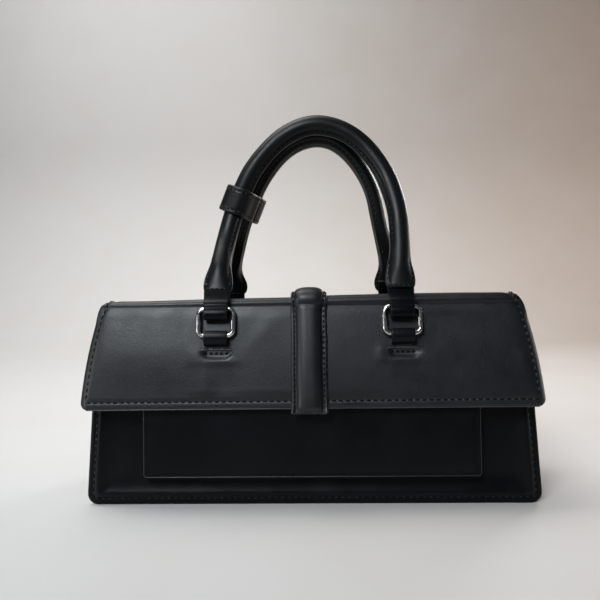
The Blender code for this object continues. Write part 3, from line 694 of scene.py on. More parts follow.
def rim_run(corners, radii, place, relief):
    """Points and normals of a seam down one side of an outline, along its foot and up its other side."""
    columns, rows = 60, 30
    shares = (even(columns), even(rows)) * 2
    ring = np.array([tuple(p) for p in outline_ring(corners, radii, STITCH_INSET, shares, ARC_STEPS)])
    wide, tall = ARC_STEPS + columns, ARC_STEPS + rows
    begin = 2 * wide + tall + ARC_STEPS
    index = np.arange(begin, begin + wide + 2 * tall - ARC_STEPS) % len(ring)
    x, z = ring[index].T
    return line_on(place, x, z, relief(x, z, np.full(len(x), STITCH_INSET)))


# The flap's own surface: x across and s along its outer face, from the foot over the top to the hinge

FLAP_SLOPE = (FLAP_CREST_DEPTH - FLAP_FOOT_DEPTH) / (FLAP_TOP - FLAP_FOOT)
FLAP_LEAN = math.atan(FLAP_SLOPE)


def flap_profile():
    """The outer face in side view, as points and outward normals a quarter millimetre apart."""
    normal = np.array([-math.cos(FLAP_LEAN), math.sin(FLAP_LEAN)])
    foot = np.array([FLAP_FOOT_DEPTH, FLAP_FOOT])
    corner = np.array([FLAP_CREST_DEPTH, FLAP_TOP])
    start_angle = math.pi - FLAP_LEAN
    reach = FLAP_CREST_RADIUS * math.tan((start_angle - math.pi / 2) / 2)
    bend = corner - unit(corner - foot) * reach
    centre = bend - normal * FLAP_CREST_RADIUS
    rear = np.array([HINGE.x - FLAP_REAR_RADIUS, FLAP_TOP - FLAP_REAR_RADIUS])
    step = 0.25 * MM
    points, normals = [], []

    def straight(a, b, n):
        count = max(2, int(np.linalg.norm(b - a) / step))
        for k in range(count):
            points.append(a + (b - a) * k / count)
            normals.append(n)

    def arc(middle, radius, begin, end):
        count = max(6, int(abs(end - begin) * radius / step))
        for k in range(count):
            angle = begin + (end - begin) * k / count
            n = np.array([math.cos(angle), math.sin(angle)])
            points.append(middle + n * radius)
            normals.append(n)

    straight(foot, bend, normal)
    arc(centre, FLAP_CREST_RADIUS, start_angle, math.pi / 2)
    straight(points[-1], np.array([rear[0], FLAP_TOP]), np.array([0.0, 1.0]))
    arc(rear, FLAP_REAR_RADIUS, math.pi / 2, 0.0)
    points.append(np.array([HINGE.x, HINGE.y]))
    normals.append(np.array([1.0, 0.0]))
    points = np.array(points)
    return points, np.array(normals), travelled(points), float(np.linalg.norm(bend - foot))


FLAP_POINTS, FLAP_NORMALS, FLAP_LENGTHS, FLAP_BEND = flap_profile()
FLAP_LENGTH = float(FLAP_LENGTHS[-1])
FLAP_TOP_START = FLAP_BEND + FLAP_CREST_RADIUS * 1.35


def straight_spread(share):
    """Half the flap's width at a share of the way up its straight sides."""
    return FLAP_FOOT_HALF_WIDTH + (FLAP_SHOULDER_HALF_WIDTH - FLAP_FOOT_HALF_WIDTH) * share


def flap_spread(s):
    """Half the flap's width before its shoulders are drawn in; its sides swell a little."""
    share = np.clip(s / FLAP_BEND, -0.1, 1)
    return straight_spread(share) + 1.6 * MM * np.sin(math.pi * np.clip(share, 0, 1))


def flap_shoulder(s):
    """How much the rounded shoulders draw each side in."""
    rise = np.clip((s - (FLAP_BEND - FLAP_SHOULDER_DROP)) / (FLAP_SHOULDER_DROP + 3 * MM), 0, 1)
    return FLAP_SHOULDER_INSET * (1 - np.sqrt(1 - rise ** 2))


def on_flap(x, s, lift):
    """Places (x, s, lift) on the flap's outer face; below the foot the face runs straight on."""
    s = np.asarray(s, float)
    inside = np.clip(s, 0, FLAP_LENGTH)
    y, z = (np.interp(inside, FLAP_LENGTHS, FLAP_POINTS[:, k]) for k in (0, 1))
    ny, nz = (np.interp(inside, FLAP_LENGTHS, FLAP_NORMALS[:, k]) for k in (0, 1))
    size = np.hypot(ny, nz)
    ny, nz = ny / size, nz / size
    over = s - inside
    return np.stack([x, y + ny * lift + nz * over, z + nz * lift - ny * over], axis=-1)


def on_drawn_flap(x, s, lift):
    """The same, with the width drawn in at the shoulders."""
    width = flap_spread(s)
    return on_flap(x * (width - flap_shoulder(s)) / width, s, lift)


# Hills and hollows of the flap's front: height in mm, centre, half sizes and turn
FLAP_HILLS = (
    (0.70, (-0.0920, 0.0310), 0.0360, 0.0160, 0.0),
    (0.42, (-0.0615, 0.0160), 0.0055, 0.0140, 0.06),
    (-0.40, (-0.0485, 0.0150), 0.0090, 0.0130, 0.0),
    (0.35, (-0.0270, 0.0460), 0.0060, 0.0240, -0.75),
    (-0.25, (-0.0360, 0.0400), 0.0080, 0.0240, -0.75),
)


def flap_shape(x, s):
    """Slow relief of the flap's front: its soft face, and the leather drawn in round the two chapes."""
    lift = 0.55 * waves(x, s, 0.19, 0.9)
    for height, *place in FLAP_HILLS:
        lift = lift + height * hill(x, s, *place)
    for side in (-1, 1):
        centre = side * RING_HALF_SPREAD
        across, up = (x - centre - 0.6 * MM) / (9.0 * MM), (s - CHAPE_TACK) / (3.6 * MM)
        lift = lift - 1.15 * eased(np.clip(1.5 * (1 - across ** 4 - up ** 2), 0, 1))
        lift = lift + 0.40 * hill(x, s, (centre, CHAPE_TACK - 4.8 * MM), 0.0110, 0.0022)
        lift = lift + 0.40 * hill(x, s, (centre - 0.0125, CHAPE_TACK - 1 * MM), 0.0034, 0.0050)
    front = ramp(FLAP_BEND - s, 0, 8) * ramp(s, 0, 6)
    return MM * lift * front


def top_sag(s):
    """How far the soft top dips towards its rear."""
    return -TOP_SAG * eased(ramp(s - FLAP_TOP_START, 0, 20))


# Places across the top, and how far it stands up there, in mm
TOP_LINE = (-125, -100, -54, -12, 14, 54, 90, 125), (0.2, 0.1, 0.8, 1.05, 1.9, 2.3, 2.3, 2.0)


def top_tilt(x, s):
    """The top line is not level: it stands highest right of its middle."""
    high = np.interp(x / MM, *TOP_LINE)
    return high * MM * ramp(s - FLAP_BEND, -1, 5) * ramp(FLAP_BEND - s, -28, 18)


def belly(s, height):
    """The flap's front stands fullest a little above its middle."""
    return height * np.clip(1 - ((s - FLAP_BELLY) / FLAP_BELLY) ** 2, 0, 1)


def flap_relief(x, s, d=None):
    past = s - (FLAP_BEND - 0.2 * MM)
    crease = -0.45 * MM * np.exp(-(past / np.where(past > 0, 1.1 * MM, 3.4 * MM)) ** 2)
    rim = np.minimum(flap_spread(s) - flap_shoulder(s) - np.abs(x), s)
    inner = ramp(rim - STITCH_INSET, 0, 6)
    soft = (flap_shape(x, s) + belly(s, 1.1 * MM)) * inner
    return seam_groove(rim, 0.34, 0.12) + soft + crease + top_tilt(x, s)


def flap_drop(x, s, d=None):
    """The sides turn back outside their stitches where the flap stands off the body."""
    room = np.clip((FLAP_BEND + 2 * MM - s) / (12 * MM), 0.25, 1)
    to_side = flap_spread(s) - np.abs(x)
    side = -2.9 * MM * np.clip(1 - to_side / (4.6 * MM), 0, 1) ** 1.25 * room
    return side + rim_setback(s, 0.75 * MM) + top_sag(s)


def on_flap_face(x, s, lift):
    """Places on the flap's face with all its relief."""
    return on_drawn_flap(x, s, flap_relief(x, s) + flap_drop(x, s) + lift)


COVER_LENGTH = FLAP_LENGTH - HINGE_STRIP_REACH + 1.5 * MM
FLAP_CORNERS = trapezoid(FLAP_FOOT_HALF_WIDTH, 0, FLAP_SHOULDER_HALF_WIDTH, COVER_LENGTH)
FLAP_RADII = (FLAP_FOOT_RADIUS, FLAP_FOOT_RADIUS, 0.0, 0.0)


def flap_rows():
    """Shares along the flap, closer together over its crest and its rear bend."""
    marks = list(np.arange(1.5, 27.0, 1.5)) + list(np.arange(27.0, 37.0, 0.5))
    marks += list(np.arange(37.0, 57.0, 1.5)) + list(np.arange(57.0, 71.0, 0.4))
    marks += list(np.arange(71.0, COVER_LENGTH / MM - 1.5, 2.5))
    return [mark * MM / COVER_LENGTH for mark in marks]


def flap_columns():
    """Shares across the flap, closer together round both chapes."""
    marks = list(np.arange(2.6, 67.0, 2.6)) + list(np.arange(67.6, 93.2, 0.8))
    marks += list(np.arange(94.4, 134.7, 2.6))
    width = 2 * FLAP_FOOT_HALF_WIDTH / MM
    marks += [width / 2] + [width - mark for mark in reversed(marks)]
    return [mark / width for mark in marks]


def flap_cover():
    grid = ring_grid(FLAP_CORNERS, FLAP_RADII, RIM_INSETS[:-1], flap_rows(), flap_columns())
    flat = grid[0]
    # The quadrilateral's sides are straight, and the flap's are straight only up to its crest
    flat[:, 0] *= flap_spread(flat[:, 1]) / straight_spread(flat[:, 1] / COVER_LENGTH)
    sheet(
        "flap_cover", grid, on_drawn_flap, FLAP_WALL, flap_relief, flap_drop,
        FLAP_LEATHER, "flap_body", ("flap",),
    )


def flap_seams():
    """Stitches along the flap's foot and both sides, up to the hinge."""
    inner = FLAP_FOOT_HALF_WIDTH - STITCH_INSET
    foot = np.linspace(-inner, inner, 240)
    runs = [line_on(on_flap_face, foot, np.full(len(foot), STITCH_INSET), 0.0)]
    s = np.linspace(FLAP_FOOT_RADIUS + 1 * MM, COVER_LENGTH - 3 * MM, 220)
    for side in (-1, 1):
        runs.append(line_on(on_flap_face, side * (flap_spread(s) - STITCH_INSET), s, 0.0))
    stitches("flap_stitches", runs, "flap_body", radius=0.50 * MM)


def flap_edge():
    """Painted edge: a fine bead all along the flap's foot."""
    inner = FLAP_FOOT_HALF_WIDTH - FLAP_FOOT_RADIUS
    sections = []
    for x in np.linspace(-inner, inner, 130):
        lift = flap_relief(x, 0.0) + flap_drop(x, 0.0) - 0.90 * MM
        bead = [((0.05 - 0.42 * c) * MM, lift + 0.82 * MM * s) for c, s in circle(8)]
        sections.append([on_drawn_flap(x, *spot) for spot in bead])
    loft("flap_painted_edge", sections, EDGE_PAINT_AND_HIGHLIGHT, "flap_body")


def flap_lining():
    """Cloth under the flap's front and top, turned in a little from its edges."""
    start = FLAP_LINING_MARGIN
    stop = FLAP_LENGTH - 8 * MM
    x = FLAP_LINING_HALF_WIDTH
    top = FLAP_SHOULDER_HALF_WIDTH - FLAP_SHOULDER_INSET - FLAP_LINING_MARGIN
    insets = [MM * d for d in (0, 0.15, 0.45, 1.2, 2.2, 4.8)]
    grid = ring_grid(trapezoid(x, start, top, stop), FLAP_RADII, insets, even(80), even(60))

    def place(x, s, lift):
        return on_flap(x, s, lift - FLAP_WALL - SEAT_GAP - 0.35 * MM)

    def relief(x, s, d):
        return 0.08 * MM * waves(x, s, 0.03, 2.2)

    def drop(x, s, d):
        return (flap_drop(x, s) - top_sag(s)) * 0.7 + top_sag(s)

    piece = sheet(
        "flap_lining_cloth", grid, place, FLAP_LINING_WALL, relief, drop,
        LINING_CLOTH, "flap_body", ("flap_lining",),
    )


def on_margin(x, z, lift):
    return on_panel(1)(x, z, lift + SEAT_GAP + FLAP_WALL)


def margin_relief(x, z, d):
    slow = 0.2 * MM * waves(x, z, 0.10, 4.1) * ramp(d, 5, 8)
    return seam_groove(d, 0.40, 0.15) + slow


def rear_margin():
    """The flap's rear margin, sewn flat on the back below the hinge."""
    foot_half = half_width(MARGIN_FOOT) - 1.5 * MM
    corners = trapezoid(foot_half, MARGIN_FOOT, FLAP_SHOULDER_HALF_WIDTH, MARGIN_TOP)
    radii = (FLAP_FOOT_RADIUS, FLAP_FOOT_RADIUS, FLAP_SHOULDER_INSET, FLAP_SHOULDER_INSET)
    grid = ring_grid(corners, radii, RIM_INSETS[:-1], even(16), even(60))
    sheet(
        "rear_margin_leather", grid, on_margin, FLAP_WALL, margin_relief, None,
        FLAP_LEATHER, "root", ("flap_rear_margin",),
    )
    run = rim_run(corners, radii, on_margin, margin_relief)
    stitches("rear_margin_stitches", [run], "root")


def hinge_strip():
    """The leather that bends over the top of the back, between the sewn margin and the flap."""
    # Places in side view, each with its outward direction
    path = []
    for z in np.linspace(MARGIN_TOP - 3 * MM, MARGIN_TOP, 6):
        y = half_depth(z) + (SEAT_GAP + FLAP_WALL) * math.cos(PANEL_LEAN)
        path.append((y, z, math.cos(PANEL_LEAN), math.sin(PANEL_LEAN)))
    for s in np.linspace(FLAP_LENGTH - 0.1 * MM, FLAP_LENGTH - HINGE_STRIP_REACH, 26):
        _, y, z = on_flap(0.0, s, 0.0)
        _, y_over, z_over = on_flap(0.0, s, 1.0)
        path.append((float(y), float(z), float(y_over - y), float(z_over - z)))
    sections = []
    half = FLAP_SHOULDER_HALF_WIDTH - FLAP_SHOULDER_INSET + 1.0 * MM
    last = len(path) - 1
    for x in np.linspace(-half, half, 61):
        over, under = [], []
        end = min(1.0, (half - abs(x)) / (2 * MM))
        for k, (y, z, ny, nz) in enumerate(path):
            taper = min(1.0, 0.12 + k / 3, 0.12 + (last - k) / 4)
            rise = (0.28 * taper - 0.02 - 0.5 * (1 - end) ** 2) * MM
            fall = -(0.3 + 1.3 * taper) * MM
            low = 0.38 if z > MARGIN_TOP else 0.0
            sag = -TOP_SAG * (low + (1 - low) * eased(ramp(HINGE.x - y, 0, 2.5)))
            over.append((x, y + ny * rise, z + nz * rise + sag))
            under.append((x, y + ny * fall, z + nz * fall + sag))
        sections.append(over + under[::-1])
    piece = loft("hinge_strip_leather", sections, FLAP_LEATHER, None)
    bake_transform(piece)


def body_seams():
    """Stitches round the foot and sides of both panels."""
    for name, side in (("front_panel_stitches", -1), ("back_panel_stitches", 1)):
        run = rim_run(BODY_CORNERS, BODY_RADII, on_panel(side), panel_relief)
        stitches(name, [run], "root")


# Side walls and base

def inner_depth(z):
    """Half the room between the two panels, seat gaps left out."""
    return half_depth(z) - PANEL_WALL - 2 * SEAT_GAP


def gusset(name, side, node):
    """A side wall that folds inwards towards its top, sewn to both panels."""
    foot = BASE_WALL + SEAT_GAP
    reach, top_reach = inner_depth(0), inner_depth(GUSSET_TOP)
    corners = trapezoid(reach, foot, top_reach, GUSSET_TOP)
    insets = [MM * d for d in (0, 0.1, 0.3, 0.6, 0.9, 1.6, 2.4, 3.2, 4.0)]
    grid = ring_grid(corners, (0.5 * MM, 0.5 * MM, 3 * MM, 3 * MM), insets, even(44), even(28))

    def place(y, z, lift):
        share = np.clip((z - foot) / (GUSSET_TOP - foot), 0, 1)
        wide = reach + (top_reach - reach) * share
        fold = (GUSSET_FOLD - 0.6 * MM) * share * (1 - (y / wide) ** 2)
        sharp = 0.6 * MM * share * bump(y, 0, 2.2)
        x = half_width(z) - GUSSET_INSET - fold - sharp + lift
        return np.stack([side * x, y, z], axis=-1)

    def relief(y, z, d):
        return 0.15 * MM * waves(y, z, 0.05, 3.3 + side) * ramp(d, 0, 4)

    sheet(name, grid, place, GUSSET_WALL, relief, None, SHADED_BODY_LEATHER, "root", (node,))
    runs = []
    for edge in (-1, 1):
        z = np.linspace(foot + 4 * MM, GUSSET_TOP - 4 * MM, 60)
        wide = reach + (top_reach - reach) * (z - foot) / (GUSSET_TOP - foot)
        y = edge * (wide - 3.0 * MM)
        line = place(y, z, np.zeros(len(z)))
        runs.append((line, np.tile((side, 0.0, 0.0), (len(z), 1))))
    stitches(name.replace("leather", "stitches"), runs, "root")


def base():
    half_x = half_width(0) - GUSSET_INSET
    half_y = inner_depth(BASE_WALL)
    corners = trapezoid(half_x, -half_y, half_x, half_y)
    insets = [MM * d for d in (0, 0.15, 0.5, 1.1, 2.2, 4.0, 6.0)]
    grid = ring_grid(corners, (4 * MM,) * 4, insets, even(20), even(70))

    def place(x, y, lift):
        return np.stack([x, y, -lift], axis=-1)

    def relief(x, y, d):
        return -0.04 * MM * (1 + waves(x, y, 0.08, 5.0))

    sheet(
        "base_leather", grid, place, BASE_WALL, relief, None,
        SHADED_BODY_LEATHER, "root", ("base_panel",),
    )


def lining_half_width(z):
    return half_width(z) - GUSSET_INSET - GUSSET_WALL - GUSSET_FOLD - SEAT_GAP


def lining_ring(z, inset, ripple):
    """The cloth bag at one height: a rounded rectangle whose sides are slack."""
    corner, steps = 5 * MM, 8
    x, y = lining_half_width(z) - inset, inner_depth(z) - inset
    signs = ((-1, -1), (1, -1), (1, 1), (-1, 1))
    points = []
    for i, (sx, sy) in enumerate(signs):
        centre = Vector((sx * (x - corner), sy * (y - corner), z))
        for k in range(steps + 1):
            angle = math.pi + i * math.pi / 2 + math.pi / 2 * k / steps
            points.append(centre + Vector((math.cos(angle), math.sin(angle), 0)) * corner)
        sx, sy = signs[(i + 1) % 4]
        end = Vector((sx * (x - corner), sy * (y - corner), z))
        end += Vector((math.sin(i * math.pi / 2), -math.cos(i * math.pi / 2), 0)) * corner
        spans = 36 if i % 2 == 0 else 10
        start = points[-1].copy()
        points += [start.lerp(end, k / spans) for k in range(1, spans)]
    rippled = []
    for p in points:
        pull = 0.9 * MM * ripple * (1 + waves(p.x, p.z + p.y, 0.045, 6.1)) / 2
        rippled.append(Vector((p.x * (1 - pull / x), p.y * (1 - pull / y), p.z)))
    return rippled


def lining():
    """The cloth bag inside: soft rounded corners, a hem and slack folds."""
    low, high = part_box("lining")
    foot, top = low.z, high.z
    wall = 0.8 * MM
    shares = sorted({0.0, 0.01, 0.04, 0.1, *even(14)[1:], 0.955, 0.96, 0.985, 1.0})
    levels = [foot + (top - foot) * share for share in shares]
    sections = [lining_ring(z, 0, 0.4) for z in levels]
    sections += [lining_ring(max(z, foot + wall), wall, 0.4 + (z < top - 6 * MM)) for z in reversed(levels)]
    piece = loft("lining_cloth_bag", sections, LINING_CLOTH, "root", ("lining",))


# Front pocket

POCKET_INSETS = (0.0, 0.25, 0.6, 1.0, 1.5, 2.1, 2.8, 3.6, 4.6, 6.0, 8.0)
POCKET_HEIGHTS = (0.70, 0.76, 0.835, 0.895, 0.945, 0.975, 0.965, 0.955, 0.975, 0.995, 1.0)
POCKET_LINE_INSET = 1.5 * MM
POCKET_ROWS, POCKET_COLUMNS, POCKET_ARC_STEPS = even(16), even(60), 5


def pocket_height(inset):
    """Height of the pocket's face over the panel at a distance in from its edge."""
    return POCKET_PROUD * float(np.interp(inset / MM, POCKET_INSETS, POCKET_HEIGHTS))


def pocket_swell(x, z):
    """The pocket's face is a little fuller in its middle."""
    share_x = np.clip(1 - (x / POCKET_HALF_WIDTH) ** 4, 0, 1)
    return 0.5 * MM * share_x * (0.4 + 0.6 * waves(x, z, 0.14, 2.7) ** 2)


def pocket_arm(inset):
    """The pocket's outline down its left side, along its foot and up its right side, open at the top."""
    corners = trapezoid(POCKET_HALF_WIDTH, POCKET_FOOT, POCKET_HALF_WIDTH, POCKET_TOP + inset)
    rows, columns, arc = POCKET_ROWS, POCKET_COLUMNS, POCKET_ARC_STEPS
    sides = (columns, rows, reversed_shares(columns), reversed_shares(rows))
    ring = outline_ring(corners, (POCKET_CORNER_RADIUS, POCKET_CORNER_RADIUS, 0, 0), inset, sides, arc)
    start = 3 * (arc + 1) + len(columns) * 2 + len(rows) + arc
    count = 2 * (arc + 1) + len(columns) + 2 * len(rows) + 2
    return np.array([tuple(p) for p in (ring[start:] + ring[:start])[:count]])


def pocket_skin(points, faces, inset, thickness, flipped):
    """One skin of the pocket: rings up its walls and over its edge, then its face.

    It gives the index of its first point, its points in a ring, and the points round its open top.
    """
    base = len(points)
    levels = [(inset, SEAT_GAP), (inset, 0.35 * POCKET_PROUD)]
    levels += [(inset + d * MM, pocket_height(d * MM) - thickness) for d in POCKET_INSETS]
    for inset_here, lift in levels:
        x, z = pocket_arm(inset_here).T
        fuller = min(1.0, max(0.0, (lift - 0.8 * POCKET_PROUD) / (0.2 * POCKET_PROUD)))
        points.extend(on_panel(-1)(x, z, lift + fuller * pocket_swell(x, z)))
    count = len(x)
    skin = []
    for k in range(len(levels) - 1):
        a, b = base + k * count, base + (k + 1) * count
        skin += [(a + i, a + i + 1, b + i + 1, b + i) for i in range(count - 1)]
    # The face inside the last ring, row by row between its two arms
    last = base + (len(levels) - 1) * count
    tall = len(POCKET_ROWS) + 2
    left = [last + i for i in range(tall)][::-1]
    right = [last + count - tall + i for i in range(tall)]
    foot = last + tall + POCKET_ARC_STEPS
    grid = [[left[0], *range(foot, foot + len(POCKET_COLUMNS)), right[0]]]
    for r in range(1, tall):
        a, b = points[left[r]], points[right[r]]
        line = []
        for share in POCKET_COLUMNS:
            p = a + (b - a) * share
            ends = pocket_swell(a[0], a[2]) * (1 - share) + pocket_swell(b[0], b[2]) * share
            p = p - np.array([0.0, pocket_swell(p[0], p[2]) - ends, 0.0])
            line.append(len(points))
            points.append(p)
        grid.append([left[r], *line, right[r]])
    for low, high in zip(grid, grid[1:]):
        skin += [(low[c], low[c + 1], high[c + 1], high[c]) for c in range(len(low) - 1)]
    faces.extend([face[::-1] for face in skin] if flipped else skin)
    starts = [base + k * count for k in range(len(levels))]
    mouth = starts + grid[-1][1:-1] + [start + count - 1 for start in reversed(starts)]
    return base, count, mouth


def pocket():
    """A box pocket: side walls that stand off the panel, a rolled edge and an open top."""
    points, faces = [], []
    first, count, outer_mouth = pocket_skin(points, faces, 0.0, 0.0, False)
    second, _, inner_mouth = pocket_skin(points, faces, POCKET_WALL, POCKET_WALL, True)
    for i in range(len(outer_mouth) - 1):
        faces.append((outer_mouth[i], outer_mouth[i + 1], inner_mouth[i + 1], inner_mouth[i]))
    faces += [(first + i + 1, first + i, second + i, second + i + 1) for i in range(count - 1)]
    piece = add_piece(
        "front_pocket_leather", points, faces, SHADED_BODY_LEATHER, "root", ("front_pocket",),
    )
    face_out(piece.data, weld=True)
    piece.data.shade_smooth()
    # A pale bead along the pocket's left side, foot and right side, thicker towards the left: a painted
    # highlight on its rolled edge.
    x, z = pocket_arm(POCKET_LINE_INSET)[2:-2].T
    line, up = line_on(on_panel(-1), x, z, pocket_height(POCKET_LINE_INSET) + pocket_swell(x, z))
    side = np.cross(unit(np.gradient(line, axis=0)), up)
    sections = []
    for k, spot in enumerate(line):
        thick = MM * float(np.interp(spot[0] / MM, (20, 95), (0.24, 0.13)))
        sections.append([spot + (side[k] * c + up[k] * s) * thick for c, s in circle(6)])
    loft("pocket_painted_highlight_line", sections, EDGE_PAINT_AND_HIGHLIGHT, "root")


# Centre strap

STRAP_HALF_WIDTH = 10.25 * MM
STRAP_DOME_HALF_WIDTH = 7.5 * MM
STRAP_RISE = 5.0 * MM
STRAP_OVERHANG = 3.0 * MM


def strap_section(dome_share, curl, dome_half):
    """Outer face then underside, as (across, lift) pairs from left to right and back."""
    over, under = [], []
    flange, rounding = 1.7 * MM, 0.7 * MM
    for k in range(41):
        x = STRAP_HALF_WIDTH * math.sin((-1 + 2 * k / 40) * math.pi / 2)
        share = min(1.0, abs(x) / dome_half)
        crown = (1 - share ** 3.0) ** 0.70 if share < 1 else 0.0
        edge = min(1.0, max(0.0, (abs(x) - STRAP_HALF_WIDTH + rounding) / rounding))
        off = 1 - math.sqrt(1 - edge ** 2)
        groove = 0.30 * MM * bump(abs(x) - dome_half, 0.4, 0.5)
        raised = curl * max(0.0, abs(x) - dome_half) / (STRAP_HALF_WIDTH - dome_half)
        lift = flange + (STRAP_RISE - flange) * crown * dome_share - groove + raised
        over.append((x, lift - 0.5 * MM * off))
        under.append((x, 0.35 * MM + raised + 0.4 * MM * off))
    return over + under[::-1]


def strap_lift(s):
    """The stiff strap lies on the flap's belly, springs over the crest and follows the dipped top."""
    spring = 1.1 * MM * bump(s - FLAP_BEND, 4.0, 5.0)
    return belly(s, 1.0 * MM) + spring + top_sag(s) + top_tilt(np.zeros_like(s), s)


def strap_crest(s):
    """How far the strap is bent over the flap's crest, from 0 to 1."""
    return bump(s - FLAP_BEND, 5.0, 6.0)


def strap_curl(s, height):
    """The strap's end stands off the flap."""
    return height * np.clip(1 - (s + STRAP_OVERHANG) / (9 * MM), 0, 1) ** 2


def strap_wobble(s):
    return 0.12 * MM * np.sin(s * 210.0)


def centre_strap():
    stop = FLAP_LENGTH - FLAP_REAR_RADIUS * 1.6 - 8 * MM
    stations = np.concatenate([
        np.linspace(-STRAP_OVERHANG, 6 * MM, 16), np.linspace(7 * MM, FLAP_BEND - 5 * MM, 30),
        np.linspace(FLAP_BEND - 4.5 * MM, FLAP_BEND + 9 * MM, 24),
        np.linspace(FLAP_BEND + 11 * MM, stop, 26),
    ])
    half_turn = np.linspace(0, math.pi, 15)
    filler_x = np.cos(half_turn) * (STRAP_DOME_HALF_WIDTH - 2.0 * MM)
    sections, filler = [], []
    for s in stations:
        crest = strap_crest(s)
        dome = min(1.0, 0.30 + (s + STRAP_OVERHANG) / (4.5 * MM)) * min(1.0, 0.15 + (stop - s) / (5 * MM))
        dome -= 0.22 * bump(s - FLAP_BEND, -0.6, 1.4) + 0.14 * crest
        half = STRAP_DOME_HALF_WIDTH + 1.2 * MM * crest
        x, lift = np.array(strap_section(max(0.0, dome), strap_curl(s, 1.3 * MM), half)).T
        sections.append(on_flap(x + strap_wobble(s), np.full(len(x), s), lift + strap_lift(s)))
        if 1 * MM < s < stop - 6 * MM:
            high = (STRAP_RISE - 2.6 * MM) * min(1.0, max(0.2, dome))
            lift = 0.6 * MM + np.sin(half_turn) * high + strap_lift(s)
            filler.append(on_flap(filler_x, np.full(len(lift), s), lift))
    piece = loft(
        "centre_strap_leather", sections, FLAP_LEATHER, "flap_body", ("centre_strap",),
    )
    loft("strap_filler_felt", filler, FELT, "flap_body", ("strap_filler",))
    s = np.linspace(-1.0 * MM, stop - 3 * MM, 260)
    x = STRAP_DOME_HALF_WIDTH + 1.1 * MM + 0.7 * MM * strap_crest(s)
    lift = 1.62 * MM + strap_curl(s, 0.4 * MM) + strap_lift(s)
    runs = [line_on(on_flap, side * x, s, lift) for side in (-1, 1)]
    stitches(
        "strap_stitches", runs, "flap_body",
        pitch=3.1 * MM, radius=0.45 * MM, pucker_highlights=False,
    )
    strap_edge()


def strap_edge():
    """Painted edge up both sides and across the end."""
    inner = STRAP_HALF_WIDTH - 0.6 * MM
    edge = [(-STRAP_HALF_WIDTH, s) for s in np.linspace(FLAP_BEND + 8 * MM, 0.6 * MM - STRAP_OVERHANG, 90)]
    edge += [(x, -STRAP_OVERHANG) for x in np.linspace(-inner, inner, 24)]
    edge += [(-x, s) for x, s in reversed(edge[:90])]
    sections = []
    for x, s in edge:
        wing = max(0.0, abs(x) - STRAP_DOME_HALF_WIDTH) / (STRAP_HALF_WIDTH - STRAP_DOME_HALF_WIDTH)
        middle = 1.05 * MM + strap_curl(s, 1.3 * MM) * wing + strap_lift(s)
        on_side, at_end = abs(x) > 9.7 * MM, s < 0.7 * MM - STRAP_OVERHANG
        section = []
        for c, up in circle(8):
            out = 0.36 * MM * c
            across = x + strap_wobble(s) + (math.copysign(out, x) if on_side else 0.0)
            section.append(on_flap(across, s - (out if at_end else 0.0), middle + 0.42 * MM * up))
        sections.append(section)
    loft("strap_painted_edge", sections, EDGE_PAINT_AND_HIGHLIGHT, "flap_body")


# Rings

def bars(row):
    """Lower and upper bar of a row's rings in side view, from the joints on them, and the way up."""
    lower = Vector(JOINTS[f"{row}_ring_left_pivot"]["pos_m"][1:])
    upper = Vector(JOINTS[f"{row}_handle_pivot"]["pos_m"][1:])
    return lower, upper, (upper - lower).normalized()


def ring(name, across, row, body, node):
    """A rounded rectangle of polished wire with a closed butt joint in its lower bar."""
    lower, _, rise = bars(row)
    corners = trapezoid(RING_HALF_WIDTH, 0, RING_HALF_WIDTH, RING_HEIGHT)
    outline = outline_ring(corners, (RING_CORNER_RADIUS,) * 4, 0.0, (even(12), even(10)) * 2, 10)
    side = np.array((0.0, rise.y, -rise.x))
    sections = []
    for i, spot in enumerate(outline):
        way = (outline[(i + 1) % len(outline)] - outline[i - 1]).normalized()
        away = Vector((way.y, -way.x))
        section = []
        for c, s in circle(16):
            flat = spot + away * (RING_WIRE_RADIUS * c)
            base = np.array((across + flat.x, lower.x + rise.x * flat.y, lower.y + rise.y * flat.y))
            section.append(base + side * (RING_WIRE_RADIUS * s))
        sections.append(section)
    loft(name, sections, NICKEL, body, (node,), closed_path=True)


# Folded straps: tabs and chapes

def extruded(name, outline, across, half_width_at, material, body, node, crown):
    """A strap with rounded edges whose side view is a closed outline of (y, z) points."""
    tangents = np.roll(outline, -1, axis=0) - np.roll(outline, 1, axis=0)
    normals = unit(np.stack([tangents[:, 1], -tangents[:, 0]], axis=1))
    if np.sum((outline - outline.mean(axis=0)) * normals) < 0:
        normals = -normals
    radius = 0.45 * MM
    half = np.array([half_width_at(z) for z in outline[:, 1]])
    # Across the strap: its left edge, rounded in four steps, then its face and its right edge
    dips = (1.0, 0.62, 0.29, 0.08)
    stops = [(-1, dip) for dip in dips]
    stops += [((-1 + 2 * k / 14) * 0.93, None) for k in range(15)]
    stops += [(1, dip) for dip in reversed(dips)]
    sections = []
    for share, dip in stops:
        if dip is None:
            pull, x = -crown * (1 - share ** 2), across + share * half
        else:
            pull, x = radius * dip, across + share * (half - radius + radius * math.sqrt(1 - dip ** 2))
        sections.append(np.column_stack([x, outline - normals * pull]))
    loft(name, sections, material, body, (node,))


def side_outline(origin, front, up, points):
    """A closed outline in side view through a few (front, up) points, with even steps and its ends kept."""
    line = np.array([(u, v, 0.0) for u, v in points])
    lengths = travelled(line)
    even_line = along(line, lengths, np.linspace(0, lengths[-1], 44))
    return np.array([tuple(origin + front * u + up * v) for u, v, _ in even_line])


# How far a tab's loop hangs, its height and its half width below the bar, and its inner side in walls.
# The rear loops are rounder and hang less, so that they clear the flap's margin in every pose.
TAB_LOOPS = {"front": (2.2 * MM, 4.7 * MM, 3.2 * MM, 1.6), "rear": (0.0, 3.0 * MM, 2.9 * MM, 1.25)}

TAB_WALL = 1.65 * MM
TAB_TOP = 17.0 * MM


